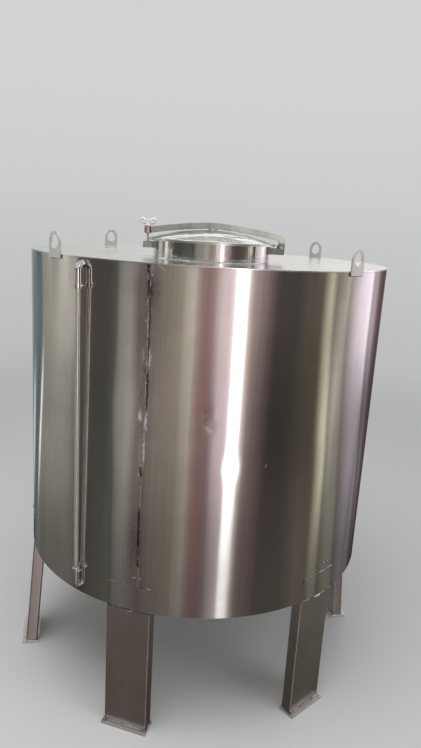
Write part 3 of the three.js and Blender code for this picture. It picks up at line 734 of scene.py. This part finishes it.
drain_profile = [
    (DRAIN_BORE, DRAIN_TOP),
    (DRAIN_OUTER, DRAIN_TOP),
    (DRAIN_OUTER, DRAIN_END + 0.0075),
    (DRAIN_OUTER + 0.001, DRAIN_END + 0.0060),
    (DRAIN_LIP - 0.0006, DRAIN_END + 0.0040),
    (DRAIN_LIP, DRAIN_END + 0.0034),
    (DRAIN_LIP, DRAIN_END + 0.0006),
    (DRAIN_LIP - 0.0006, DRAIN_END),
    (DRAIN_BORE + 0.0004, DRAIN_END),
    (DRAIN_BORE, DRAIN_END + 0.0004),
]
dressed("drain_pipe", spun(drain_profile, 64), polished, "polished_steel", "outlet_pipe")

# Legs: six boxes folded from 3 mm sheet, welded under the shell's edge and onto thick foot plates.
# The left one and the one opposite it lean outwards; the corners are rounded where the sheet was folded.
LEG_COUNT = 6
FIRST_LEG_AZIMUTH = -78
LEG_HALF_WIDTH = 0.070
LEG_DEPTH = 0.038
LEG_FACE = math.sqrt(SHELL_RADIUS**2 - LEG_HALF_WIDTH**2)
LEG_HIGH = 0.4147
LEG_LOW = 0.0083
LEG_LEANS = (0.032, 0, 0, 0.032, 0, 0)
LEG_CORNER = 0.005
LEG_WELD_OUT = 0.0008
LEG_WELD_HEIGHT = 0.0088
LEG_WELD_STEP = 0.0025
TOP_WELD_STEPS = 48
TOP_WELD_HEIGHT = 0.4142
FOOT_OUTER_MARGIN = 0.014
FOOT_INNER_MARGIN = 0.006
FOOT_SIDE_MARGIN = 0.004
FOOT_THICK = 0.008
FOOT_EDGE = 0.0012


def rounded(bm, edges, width, segments):
    """Rounds those edges off."""
    bmesh.ops.bevel(
        bm, geom=edges, affect="EDGES", offset=width, segments=segments, profile=0.5, material=-1,
        clamp_overlap=True,
    )


def box(low, high, bevel, segments, upright_only=False):
    """A block between two corners with its edges rounded."""
    bm = bmesh.new()
    bmesh.ops.create_cube(bm, size=1)
    size = Vector(high) - Vector(low)
    bmesh.ops.scale(bm, verts=bm.verts, vec=size)
    bmesh.ops.translate(bm, verts=bm.verts, vec=Vector(low) + size / 2)
    edges = bm.edges[:]
    if upright_only:
        edges = [edge for edge in edges if abs(edge.verts[0].co.z - edge.verts[1].co.z) > size.z / 2]
    rounded(bm, edges, bevel, segments)
    return bm


def joined(target, other):
    """Adds one bmesh to another."""
    mesh = bpy.data.meshes.new("joining")
    other.to_mesh(mesh)
    other.free()
    target.from_mesh(mesh)
    bpy.data.meshes.remove(mesh)


def run(start, end, spacing):
    """Evenly spaced points from one place to another."""
    steps = max(2, round((end - start).length / spacing))
    return [start.lerp(end, i / steps) for i in range(steps + 1)]


folded = Finish("folded_steel")
folded_grit = folded.stretched(240.0, 240.0, 7.0)
folded_cloud = folded.grain(folded.place, 9.0, 4.0, 0.6)
near_weld = folded.between(folded.z + folded.grain(folded.place, 120.0, 3.0, 0.6) * 0.010, 0.4125, 0.4185)
folded_share = folded.between(folded_cloud * 0.8 + folded_grit * 0.2, 0.36, 0.66)
folded_tone = folded.mixed(folded_share, (0.60, 0.555, 0.54, 1), (0.49, 0.455, 0.44, 1))
folded.surface(
    folded.mixed(near_weld * 0.85, folded_tone, (0.10, 0.085, 0.08, 1)),
    1.0,
    0.22 + folded_cloud * 0.14 + folded_grit * 0.05,
    (0.10, 0.0004, folded_grit),
)
foot_steel = Finish("foot_steel")
foot_scratch = foot_steel.stretched(90.0, 90.0, 90.0, 4.0, 0.65)
cut_edge = foot_steel.between(foot_steel.z + foot_scratch * 0.0012, 0.0084, 0.0078)
foot_steel.surface(
    foot_steel.mixed(cut_edge, (0.62, 0.60, 0.58, 1), (0.70, 0.67, 0.63, 1)),
    1.0 - cut_edge * 0.40,
    0.18 + foot_scratch * 0.25,
    (0.3, 0.0004, foot_scratch),
)

for i in range(LEG_COUNT):
    lean = LEG_LEANS[i]
    turn_leg = Matrix.Rotation(math.radians(FIRST_LEG_AZIMUTH + 360 / LEG_COUNT * i), 4, "Z")
    leg_corner = (LEG_HALF_WIDTH, -LEG_FACE + LEG_DEPTH, LEG_HIGH)
    leg = box((-LEG_HALF_WIDTH, -LEG_FACE, LEG_LOW), leg_corner, LEG_CORNER, 4, True)
    for vert in leg.verts:
        vert.co.y -= lean * (LEG_HIGH - vert.co.z) / (LEG_HIGH - LEG_LOW)
    bmesh.ops.transform(leg, matrix=turn_leg, verts=leg.verts)
    dressed(f"box_leg_{i + 1}", leg, folded, "plain_steel", f"leg_{i + 1}")

    front = -LEG_FACE - lean
    reach = LEG_HALF_WIDTH + FOOT_SIDE_MARGIN
    foot_corner = (reach, front + LEG_DEPTH + FOOT_INNER_MARGIN, FOOT_THICK)
    foot = box((-reach, front - FOOT_OUTER_MARGIN, 0), foot_corner, FOOT_EDGE, 3)
    bmesh.ops.transform(foot, matrix=turn_leg, verts=foot.verts)
    dressed(f"leg_foot_{i + 1}", foot, foot_steel, "plain_steel", f"foot_plate_{i + 1}")

    side = LEG_HALF_WIDTH + LEG_WELD_OUT
    outer = front - LEG_WELD_OUT
    inner = front + LEG_DEPTH + LEG_WELD_OUT
    outline = ((-side, outer), (side, outer), (side, inner), (-side, inner))
    corners = [Vector((x, y, LEG_WELD_HEIGHT)) for x, y in outline]
    welds = bmesh.new()
    for start, end in zip(corners, corners[1:] + corners[:1]):
        points = run(start, end, LEG_WELD_STEP)
        joined(welds, bead(points, [lifted(1)] * len(points), 0.0026, 0.0024, 0.5))
    top_points = []
    for step in range(TOP_WELD_STEPS + 1):
        across = LEG_HALF_WIDTH * (2 * step / TOP_WELD_STEPS - 1) * 0.97
        top_points.append(Vector((across, -math.sqrt(RIM_WELD_RADIUS**2 - across**2), TOP_WELD_HEIGHT)))
    down = [Vector((0, -1, -1))] * len(top_points)
    joined(welds, bead(top_points, down, 0.0021, 0.0016, 0.7))
    tack_points = [point + Vector((0, -0.0014, -0.0022)) for point in top_points[20:29]]
    joined(welds, bead(tack_points, down, 0.0042, 0.0024, 0.8, 8))
    bmesh.ops.transform(welds, matrix=turn_leg, verts=welds.verts)
    dressed(f"leg_welds_{i + 1}", welds, weld, "plain_steel", smooth=60)

# Pads: thin curved plates of shell sheet that spread each leg's load, welded to the shell in short runs.
# They hug the shell just above its lower edge, as wide as the leg below.
PAD_INNER = 0.5903
PAD_OUTER = 0.5910
PAD_LOW = 0.416
PAD_HIGH = 0.494
PAD_HALF_ANGLE = math.asin(LEG_HALF_WIDTH / SHELL_RADIUS)
PAD_STEPS = 40
PAD_CORNER = 0.0003
PAD_WELD_RUNS = (((-0.92, -0.30), (-0.05, 0.98)), ((-0.75, -0.20), (0.49, 0.98)))
PAD_TACKS = ((-0.30, -0.12), (0.16, 0.30), (0.47, 0.53))
PAD_WELD_RADIUS = 0.5904
PAD_WELD_STEP = 0.0024
PAD_TACK_RISE = 0.028


def sharp_edges(bm, degrees):
    return [edge for edge in bm.edges if edge.calc_face_angle(0) > math.radians(degrees)]


pads = bmesh.new()
pad_welds = bmesh.new()
for i in range(LEG_COUNT):
    middle = math.radians(FIRST_LEG_AZIMUTH + 360 / LEG_COUNT * i)
    stations = []
    for step in range(PAD_STEPS + 1):
        azimuth = middle + PAD_HALF_ANGLE * (2 * step / PAD_STEPS - 1)
        centre = around((PAD_INNER + PAD_OUTER) / 2, azimuth, (PAD_LOW + PAD_HIGH) / 2)
        half_depth = around(1, azimuth, 0) * (PAD_OUTER - PAD_INNER) / 2
        stations.append((centre, half_depth, lifted((PAD_HIGH - PAD_LOW) / 2)))
    pad = carried(stations, [(-1, -1), (1, -1), (1, 1), (-1, 1)])
    rounded(pad, sharp_edges(pad, 60), PAD_CORNER, 3)
    joined(pads, pad)
    for radius, height, runs, width in (
        (PAD_WELD_RADIUS, PAD_HIGH + 0.0003, PAD_WELD_RUNS[i % 2], 0.0012),
        (SHELL_RADIUS, PAD_HIGH + PAD_TACK_RISE, PAD_TACKS[i % 2 :], 0.0022),
    ):
        for start, end in runs:
            steps = max(3, round((end - start) * LEG_HALF_WIDTH / PAD_WELD_STEP))
            shares = [start + (end - start) * step / steps for step in range(steps + 1)]
            points = [around(radius, middle + PAD_HALF_ANGLE * share, height) for share in shares]
            outs = [around(1, middle + PAD_HALF_ANGLE * share, 1) for share in shares]
            joined(pad_welds, bead(points, outs, width, width * 0.7, 0.6))
pad_nodes = [f"leg_pad_{i + 1}" for i in range(LEG_COUNT)]
dressed("shell_pads", pads, rolled, "brushed_shell", *pad_nodes)
dressed("pad_welds", pad_welds, weld, "brushed_shell", smooth=60)

# Lifting eyes: four flat pieces of 5 mm plate with a round eye, welded upright to the shell's top edge.
# Their cut edges are rounded off so that a sling or shackle does not snag.
LUG_COUNT = 4
FIRST_LUG_AZIMUTH = -46.5
LUG_HALF_WIDTH = 0.028
LUG_FACE = 0.5903
LUG_LOW = 1.406
LUG_WELD_STEP = 0.002


def eased(node, width, segments=2):
    """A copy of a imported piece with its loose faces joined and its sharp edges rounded."""
    bm = bmesh.new()
    bm.from_mesh(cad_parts[node].data)
    bmesh.ops.remove_doubles(bm, verts=bm.verts, dist=1e-6)
    bmesh.ops.dissolve_limit(bm, angle_limit=math.radians(1), verts=bm.verts, edges=bm.edges)
    rounded(bm, sharp_edges(bm, 35), width, segments)
    return bm


for i in range(LUG_COUNT):
    azimuth = math.radians(FIRST_LUG_AZIMUTH + 360 / LUG_COUNT * i)
    node = f"lifting_lug_{i + 1}"
    dressed(f"lifting_eye_{i + 1}", eased(node, 0.0016, 3), satin, "plain_steel", node)
    side = around(1, azimuth + math.pi / 2, 0)
    out = around(1, azimuth, 0)
    left, right = (out * (LUG_FACE + 0.001) + side * (LUG_HALF_WIDTH * sign) for sign in (-1, 1))
    eye_welds = bmesh.new()
    for edge, away in ((left, -side), (right, side)):
        points = run(edge + lifted(LUG_LOW), edge + lifted(PLATE_HIGH), LUG_WELD_STEP)
        joined(eye_welds, bead(points, [away] * len(points), 0.0016, 0.0018))
    points = run(left + lifted(LUG_LOW), right + lifted(LUG_LOW), LUG_WELD_STEP)
    joined(eye_welds, bead(points, [out - lifted(1)] * len(points), 0.0020, 0.0020, 0.5))
    dressed(f"eye_welds_{i + 1}", eye_welds, weld, "plain_steel", smooth=60)

# Manway neck: a short ring rolled from 3 mm sheet, polished and welded to the top plate with a buffed fillet.
# The lid's seal closes on its upper lip.
NECK_HIGH = 1.470
NECK_LOW = 1.4183
NECK_STEPS = 160
NECK_ROWS = 8
FILLET_STEPS = 360
FILLET_RADIUS = 0.1779
FILLET_HEIGHT = 1.4190

mirror = Finish("mirror_steel")
mirror_turn = mirror.math("ARCTAN2", mirror.x - MANWAY.x, mirror.y - MANWAY.y)
buffing = mirror.grain(mirror.join(mirror_turn * 14.0, mirror.z * 6.0, 0.0), 1.0, 4.0, 0.6)
mirror_haze = mirror.grain(mirror.place, 26.0, 4.0, 0.6)
mirror.surface(
    mirror.mixed(mirror_haze, (0.78, 0.765, 0.745, 1), (0.68, 0.665, 0.65, 1)),
    1.0,
    0.03 + mirror_haze * 0.05,
    (0.5, 0.0010, buffing),
)
neck_rise = NECK_HIGH - NECK_LOW - 0.001
neck_profile = [(NECK_INNER, NECK_LOW)]
neck_profile += [(NECK_OUTER, NECK_LOW + neck_rise * row / NECK_ROWS) for row in range(NECK_ROWS)]
neck_profile += [
    (NECK_OUTER, NECK_HIGH - 0.0007),
    (NECK_OUTER - 0.0002, NECK_HIGH - 0.0002),
    (NECK_OUTER - 0.0007, NECK_HIGH),
    (NECK_INNER + 0.0007, NECK_HIGH),
    (NECK_INNER, NECK_HIGH - 0.0007),
]
neck = spun(neck_profile, NECK_STEPS)
for vert in neck.verts:
    flat = Vector((vert.co.x, vert.co.y, 0))
    vert.co -= flat.normalized() * 0.0003 * (noise.noise(flat * 14) * 0.5 + 0.5)
bmesh.ops.translate(neck, verts=neck.verts, vec=MANWAY)
dressed("neck_ring", neck, mirror, "polished_steel", "manway_neck")

fillet_turns = full_turn(FILLET_STEPS)
fillet_points = [MANWAY + around(FILLET_RADIUS, azimuth, FILLET_HEIGHT) for azimuth in fillet_turns]
fillet_outs = [around(1, azimuth, 0.8) for azimuth in fillet_turns]
fillet = bead(fillet_points, fillet_outs, 0.0026, 0.0016, 0.3, 8, closed=True)
dressed("neck_fillet", fillet, polished, "polished_steel", smooth=60)

# Hinge and latch brackets: small welded blocks on the neck, the hinge with two cheeks and a pin on the right.
# The latch on the left is a slotted shelf between two gussets that the clamp bolt's head hooks under.
BRACKET_EDGE = 0.0008
BRACKET_WELD_RADIUS = 0.1774
BRACKET_WELD_LOW = 1.4442
BRACKET_WELD_RISE = 0.0176
BRACKET_WELD_STEP = 0.0018

strip = Finish("bar_steel")
bar_grain = strip.stretched(14.0, 300.0, 300.0)
bar_cloud = strip.grain(strip.place, 30.0, 4.0, 0.6)
bar_tone = strip.between(bar_cloud * 0.7 + bar_grain * 0.3, 0.38, 0.64)
# Darker low on the bar about its middle, just over the boss.
bar_middle_dark = strip.between(abs(strip.x - MANWAY.x - 0.002) + bar_cloud * 0.012, 0.013, 0.009)
bar_middle_dark = bar_middle_dark * strip.between(strip.z + bar_cloud * 0.010, 1.5125, 1.5085)
# Painted light: the bar's right half takes a paler, lit copy of its grey, and the low, turned-down part of
# that half is painted dark as shade.
bar_painted_lit_half = strip.between(strip.x, MANWAY.x - 0.02, MANWAY.x + 0.07)
bar_grey = strip.mixed(bar_tone, (0.52, 0.555, 0.53, 1), (0.38, 0.41, 0.385, 1))
bar_painted_lit_tone = strip.mixed(bar_tone, (0.72, 0.75, 0.70, 1), (0.56, 0.59, 0.545, 1))
bar_color = strip.mixed(bar_painted_lit_half, bar_grey, bar_painted_lit_tone)
bar_painted_shade_end = bar_painted_lit_half * strip.between(strip.z, 1.482, 1.472)
bar_color = strip.mixed(bar_painted_shade_end * 0.85, bar_color, (0.17, 0.175, 0.165, 1))
bar_color = strip.mixed(bar_middle_dark * 0.7, bar_color, (0.12, 0.11, 0.10, 1))
strip.surface(bar_color, 1.0, 0.36 + bar_cloud * 0.14, (0.10, 0.0003, bar_grain))
dressed("hinge_block", eased("hinge_bracket", BRACKET_EDGE), strip, "plain_steel", "hinge_bracket")
dressed("hinge_rod", eased("hinge_pin", BRACKET_EDGE), polished, "plain_steel", "hinge_pin")
dressed("latch_block", eased("latch_bracket", BRACKET_EDGE), strip, "plain_steel", "latch_bracket")

bracket_welds = bmesh.new()
for x_sign, half_width in ((1, 0.018), (-1, 0.025)):
    for y_sign in (-1, 1):
        across = half_width * y_sign
        reach = math.sqrt(BRACKET_WELD_RADIUS**2 - across**2)
        low = MANWAY + Vector((x_sign * reach, across, BRACKET_WELD_LOW))
        points = run(low, low + lifted(BRACKET_WELD_RISE), BRACKET_WELD_STEP)
        outs = [Vector((x_sign, y_sign, 0))] * len(points)
        joined(bracket_welds, bead(points, outs, 0.0018, 0.0016, 0.5))
dressed("bracket_welds", bracket_welds, weld, "plain_steel", smooth=60)

# Lid: a shallow dome spun from 2.5 mm sheet and polished, with a flat rim that turns down over the neck.
# Its white silicone seal sits under the rim, and a round boss at the crown carries the clamp bar.
LID_RADIUS = 0.191
LID_CROWN_RADIUS = 0.186
LID_CROWN = 1.505
LID_EDGE = 1.476
LID_THICK = 0.0025
LID_SEAT = 0.168
LID_STEPS = 160
LID_ROWS = 22

lid_rise = LID_CROWN - LID_EDGE
lid_sphere = (LID_CROWN_RADIUS**2 + lid_rise**2) / (2 * lid_rise)


def dome(reach, inset):
    """Points of the dome from its middle out to reach, on its face or inset by its thickness."""
    radii = [reach * row / LID_ROWS for row in range(LID_ROWS + 1)]
    middle = LID_CROWN - lid_sphere
    return [(radius, middle + math.sqrt((lid_sphere - inset) ** 2 - radius**2)) for radius in radii]


lid_profile = dome(LID_CROWN_RADIUS, 0)[:-1]
lid_profile += [
    (LID_CROWN_RADIUS - 0.001, LID_EDGE + 0.00025),
    (LID_RADIUS - 0.0025, LID_EDGE - 0.0002),
    (LID_RADIUS - 0.0008, LID_EDGE - 0.0010),
    (LID_RADIUS, LID_EDGE - 0.0028),
    (LID_RADIUS, LID_EDGE - 0.0076),
    (LID_RADIUS - 0.0004, LID_EDGE - 0.0080),
    (LID_RADIUS - LID_THICK + 0.0004, LID_EDGE - 0.0080),
    (LID_RADIUS - LID_THICK, LID_EDGE - 0.0076),
    (LID_RADIUS - LID_THICK, LID_EDGE - LID_THICK),
    (LID_SEAT, LID_EDGE - LID_THICK),
]
lid_profile += dome(LID_SEAT, LID_THICK)[::-1]
buffed = Finish("lid_steel")
lid_streaks = buffed.grain(buffed.join(buffed.x * 10.0, buffed.y * 15.0, 0.0), 1.0, 2.0, 0.5)
lid_haze = buffed.grain(buffed.place, 30.0, 4.0, 0.6)
across_lid = buffed.x - MANWAY.x
along_lid = buffed.y - MANWAY.y
from_middle = across_lid * across_lid + along_lid * along_lid
lid_outside = buffed.math("SQRT", lid_sphere**2 - from_middle) + (LID_CROWN - lid_sphere)
lid_inside = buffed.between(lid_outside - buffed.z, 0.0008, 0.0018)
buffed.surface(
    buffed.mixed(lid_haze, (0.84, 0.83, 0.81, 1), (0.72, 0.71, 0.69, 1)),
    1.0,
    0.03 + lid_haze * 0.06 + lid_inside * 0.22,
    (1.0, 0.0045, lid_streaks * (1.0 - lid_inside)),
)
lid = spun(lid_profile, LID_STEPS, closed=False)
for vert in lid.verts:
    if Vector((vert.co.x, vert.co.y)).length < LID_CROWN_RADIUS - 0.004:
        vert.co.z -= 0.0005 * (noise.noise(Vector((vert.co.x, vert.co.y, 3)) * 11) * 0.5 + 0.5)
bmesh.ops.translate(lid, verts=lid.verts, vec=MANWAY)
dressed("domed_lid", lid, buffed, "polished_steel", "manway_lid", body="cover")

silicone = Finish("seal_silicone")
silicone_cloud = silicone.grain(silicone.place, 60.0, 3.0)
silicone_tone = silicone.mixed(silicone_cloud, (0.78, 0.76, 0.71, 1), (0.66, 0.64, 0.60, 1))
silicone.surface(silicone_tone, 0.0, 0.55 + silicone_cloud * 0.15)
seal_profile = [
    (0.169, 1.4709), (0.1696, 1.4703), (0.1784, 1.4703), (0.179, 1.4709),
    (0.179, 1.4726), (0.1784, 1.4732), (0.1696, 1.4732), (0.169, 1.4726),
]
seal = spun(seal_profile, 128, centre=MANWAY.xy)
dressed("lid_seal", seal, silicone, "seal_rubber", "manway_seal", body="cover")
boss_profile = [
    (0, 1.5053), (0.0136, 1.5053), (0.014, 1.5057), (0.014, 1.5076), (0.0134, 1.5082), (0, 1.5082),
]
boss = spun(boss_profile, 40, closed=False, centre=MANWAY.xy)
dressed("bar_boss", boss, satin, "plain_steel", "lid_boss", body="cover")

# Clamp bar: a flat bar bowed over the lid and bent down at its right end, where it turns on the hinge pin.
# Its left end carries a bronze bush that the clamp bolt hangs in.
BAR_HALF_WIDTH = 0.012
BAR_HALF_DEPTH = 0.009
BAR_MIDDLE = 1.518
BAR_ARM_SLOPE = 0.055
BAR_ARM_CURVE = 0.36
BAR_CROWN_EASE = 0.012
BOLT_REACH = 0.196
PIN_REACH = 0.208
BAR_BEND = 0.012
BAR_LEG_END = 1.456

bar_leg = PIN_REACH + 0.002


def bow(x):
    slope = BAR_ARM_SLOPE * (math.hypot(x, BAR_CROWN_EASE) - BAR_CROWN_EASE)
    return BAR_MIDDLE - slope - BAR_ARM_CURVE * x * x


bar_path = [(x / 1000, bow(x / 1000)) for x in range(-186, 198, 6)]
bend_x = bar_leg - BAR_BEND
bend_z = bow(bend_x) - BAR_BEND
for step in range(9):
    turned = math.pi / 2 * step / 8
    bar_path.append((bend_x + BAR_BEND * math.sin(turned), bend_z + BAR_BEND * math.cos(turned)))
bar_path += [(bar_leg, BAR_LEG_END + 0.012), (bar_leg, BAR_LEG_END)]
bar_stations = []
for i, (x, z) in enumerate(bar_path):
    before = bar_path[max(i - 1, 0)]
    after = bar_path[min(i + 1, len(bar_path) - 1)]
    along = Vector((after[0] - before[0], 0, after[1] - before[1])).normalized()
    up = Vector((-along.z, 0, along.x))
    bar_stations.append((MANWAY + Vector((x, 0, z)), Vector((0, BAR_HALF_WIDTH, 0)), up * BAR_HALF_DEPTH))
bar = carried(bar_stations, [(-1, -1), (1, -1), (1, 1), (-1, 1)])
rounded(bar, sharp_edges(bar, 60), 0.0016, 3)
dressed("bowed_bar", bar, strip, "plain_steel", "clamp_bar", body="cover")

bronze = Finish("dull_bronze")
bronze_cloud = bronze.grain(bronze.place, 150.0, 4.0, 0.6)
bronze_tone = bronze.mixed(bronze_cloud, (0.70, 0.60, 0.48, 1), (0.52, 0.43, 0.33, 1))
bronze.surface(bronze_tone, 1.0, 0.30 + bronze_cloud * 0.2)
bush_profile = [
    (0.0053, 1.4863), (0.0061, 1.4855), (0.0102, 1.4855), (0.011, 1.4863),
    (0.011, 1.506), (0.0102, 1.507), (0.0061, 1.507), (0.0053, 1.5062),
]
bolt_place = MANWAY + Vector((-BOLT_REACH, 0, 0))
bush = spun(bush_profile, 48, centre=bolt_place.xy)
dressed("bronze_bush", bush, bronze, "bronze", "bolt_bush", body="cover")

# Clamp bolt: a threaded rod with a flat hammer head that passes the latch slot and hooks under it if turned.
# A cast wing nut with looped wings screws down on the bush.
BOLT_RADIUS = 0.0045
THREAD_DEPTH = 0.0005
THREAD_PITCH = 0.00175
BOLT_TOP = 1.5303
HEAD_LOW = 1.444
HEAD_HIGH = 1.451
THREAD_LOW = HEAD_HIGH + 0.004
WING_STEPS = 28

bolt_profile = [(0, HEAD_LOW + 0.001), (BOLT_RADIUS, HEAD_LOW + 0.001), (BOLT_RADIUS, HEAD_HIGH + 0.003)]
for turn_number in range(round((BOLT_TOP - 0.001 - THREAD_LOW) / THREAD_PITCH)):
    low = THREAD_LOW + turn_number * THREAD_PITCH
    bolt_profile += [
        (BOLT_RADIUS - THREAD_DEPTH, low),
        (BOLT_RADIUS, low + THREAD_PITCH * 0.42),
        (BOLT_RADIUS, low + THREAD_PITCH * 0.58),
    ]
bolt_profile += [(BOLT_RADIUS - 0.0008, BOLT_TOP), (0, BOLT_TOP)]
bolt = spun(bolt_profile, 20, closed=False, centre=bolt_place.xy)
head_low = bolt_place + Vector((-0.0045, -0.014, HEAD_LOW))
head_high = bolt_place + Vector((0.0045, 0.014, HEAD_HIGH))
joined(bolt, box(head_low, head_high, 0.001, 2))
dressed("hammer_bolt", bolt, satin, "plain_steel", "clamp_bolt", body="bolt", smooth=50)

cast = Finish("cast_steel")
cast_pits = cast.grain(cast.place, 420.0, 3.0, 0.6)
cast_tone = cast.mixed(cast_pits, (0.93, 0.92, 0.90, 1), (0.76, 0.75, 0.73, 1))
cast.surface(cast_tone, 0.35, 0.22 + cast_pits * 0.16, (0.3, 0.0003, cast_pits))
nut_profile = [
    (0.0048, 1.5073), (0.0094, 1.5073), (0.01, 1.5079), (0.0097, 1.5095), (0.0086, 1.5135),
    (0.0077, 1.524), (0.0072, 1.5262), (0.006, 1.5273), (0.0048, 1.5273),
]
nut = spun(nut_profile, 40, centre=bolt_place.xy)
for sign in (-1, 1):
    wing_stations = []
    for swing in full_turn(WING_STEPS):
        rise = 1.5212 + 0.0060 * math.sin(swing) + 0.0026 * math.cos(swing)
        centre = bolt_place + Vector((sign * (0.0150 + 0.0064 * math.cos(swing)), 0, rise))
        outward = Vector((sign * math.cos(swing), 0, math.sin(swing)))
        wing_stations.append((centre, outward * 0.0042, Vector((0, 0.0048, 0))))
    joined(nut, carried(wing_stations, round_section(12), closed=True))
dressed("winged_nut", nut, cast, "cast_steel", "wing_nut", body="nut", smooth=50)

# Level gauge: two polished pipe elbows welded into the shell, with a clear tube slipped into their ends.
# The lower elbow is shorter, so the tube leans towards it. A clip with a screw tightens each joint.
PIPE_RADIUS = 0.009
PIPE_BORE = 0.0075
SIGHT_RADIUS = 0.007
SIGHT_BORE = 0.0055
SIGHT_OVERLAP = 0.014
GAUGE_TOP_END = 1.335
GAUGE_BOTTOM_END = 0.503
ELBOW_STEPS = 12
RING_STEPS = 30
RING_RADIUS = 0.0096
CLIP_RADIUS = 0.0115
CLIP_LENGTH = 0.014
CLIP_SCREW = ((-0.006, 0.0022), (0.003, 0.0022), (0.0035, 0.0034), (0.0065, 0.0034), (0.007, 0.0028))


def gauge_elbow(name, node, azimuth, line, bend, height, way, end):
    """A pipe out of the shell that turns up or down and ends open. Gives back its line and directions."""
    outwards = around(1, azimuth, 0)
    sideways = around(1, azimuth + math.pi / 2, 0)
    foot = lifted(height)
    path = [outwards * (SHELL_RADIUS + 0.0003) + foot, outwards * (line - bend) + foot]
    directions = [outwards, outwards]
    for step in range(1, ELBOW_STEPS + 1):
        turned = math.pi / 2 * step / ELBOW_STEPS
        rise = lifted(height + way * bend * (1 - math.cos(turned)))
        path.append(outwards * (line - bend + bend * math.sin(turned)) + rise)
        directions.append(outwards * math.cos(turned) + lifted(way * math.sin(turned)))
    path.append(outwards * line + lifted(end))
    directions.append(lifted(way))

    def rings(radius):
        return [(p, sideways * radius, sideways.cross(d) * radius) for p, d in zip(path, directions)]

    up = sideways.cross(directions[-1])
    rim = path[-1] + directions[-1] * 0.0004
    rim_stations = [
        (centre, sideways * radius, up * radius)
        for centre, radius in ((rim, 0.0086), (rim, 0.0079), (path[-1], PIPE_BORE))
    ]
    stations = rings(PIPE_RADIUS) + rim_stations + rings(PIPE_BORE)[-2::-1]
    pipe = carried(stations, round_section(28), closed=True)
    dressed(name, pipe, polished, "polished_steel", node)

    spokes = [sideways * math.cos(angle) + lifted(math.sin(angle)) for angle in full_turn(RING_STEPS)]
    ring_points = [outwards * (SHELL_RADIUS + 0.0006) + foot + spoke * RING_RADIUS for spoke in spokes]
    ring_outs = [spoke + outwards for spoke in spokes]
    ring = bead(ring_points, ring_outs, 0.0018, 0.0016, 0.4, closed=True)
    dressed(f"{name}_weld", ring, weld, "polished_steel", smooth=60)
    return outwards * line, outwards, sideways


upper_elbow = gauge_elbow(
    "gauge_upper_bend", "gauge_top_elbow", math.radians(-34.4), 0.611, 0.018, 1.402, -1, GAUGE_TOP_END
)
lower_elbow = gauge_elbow(
    "gauge_lower_bend", "gauge_bottom_elbow", math.radians(-35.2), 0.603, 0.0115, 0.439, 1, GAUGE_BOTTOM_END
)

sight = Finish("sight_tube")
tube_film = sight.stretched(30.0, 30.0, 3.0)
tube_tone = sight.mixed(tube_film, (0.95, 0.93, 0.90, 1), (0.82, 0.79, 0.76, 1))
sight.surface(tube_tone, 0.35, 0.05 + tube_film * 0.08, None, {"Transmission Weight": 0.85, "IOR": 1.49})
tube_low = lower_elbow[0] + lifted(GAUGE_BOTTOM_END - SIGHT_OVERLAP / 2)
tube_high = upper_elbow[0] + lifted(GAUGE_TOP_END + SIGHT_OVERLAP / 2)
tube_half = (tube_high - tube_low).length / 2 + SIGHT_OVERLAP / 2
tube_profile = [
    (SIGHT_BORE, -tube_half), (SIGHT_RADIUS, -tube_half), (SIGHT_RADIUS, tube_half), (SIGHT_BORE, tube_half),
]
tube = spun(tube_profile, 32)
tube_lean = lifted(1).rotation_difference(tube_high - tube_low).to_matrix()
bmesh.ops.rotate(tube, verts=tube.verts, matrix=tube_lean)
bmesh.ops.translate(tube, verts=tube.verts, vec=(tube_high + tube_low) / 2)
dressed("gauge_sight_tube", tube, sight, "gauge_clear", "gauge_tube")

for name, node, low, (line, outwards, sideways) in (
    ("upper_clip", "gauge_top_clip", GAUGE_TOP_END + 0.002, upper_elbow),
    ("lower_clip", "gauge_bottom_clip", GAUGE_BOTTOM_END - 0.002 - CLIP_LENGTH, lower_elbow),
):
    high = low + CLIP_LENGTH
    clip_profile = [
        (0.0093, low + 0.0005), (0.0098, low), (CLIP_RADIUS - 0.0005, low), (CLIP_RADIUS, low + 0.0005),
        (CLIP_RADIUS, high - 0.0005), (CLIP_RADIUS - 0.0005, high), (0.0098, high), (0.0093, high - 0.0005),
    ]
    clip = spun(clip_profile, 36, centre=line.xy)
    screw_centre = line + sideways * (CLIP_RADIUS + 0.0010) + lifted((low + high) / 2)
    screw_stations = []
    for offset, radius in CLIP_SCREW:
        screw_stations.append((screw_centre + outwards * offset, lifted(radius), sideways * radius))
    joined(clip, carried(screw_stations, round_section(14)))
    dressed(name, clip, polished, "plain_steel", node)
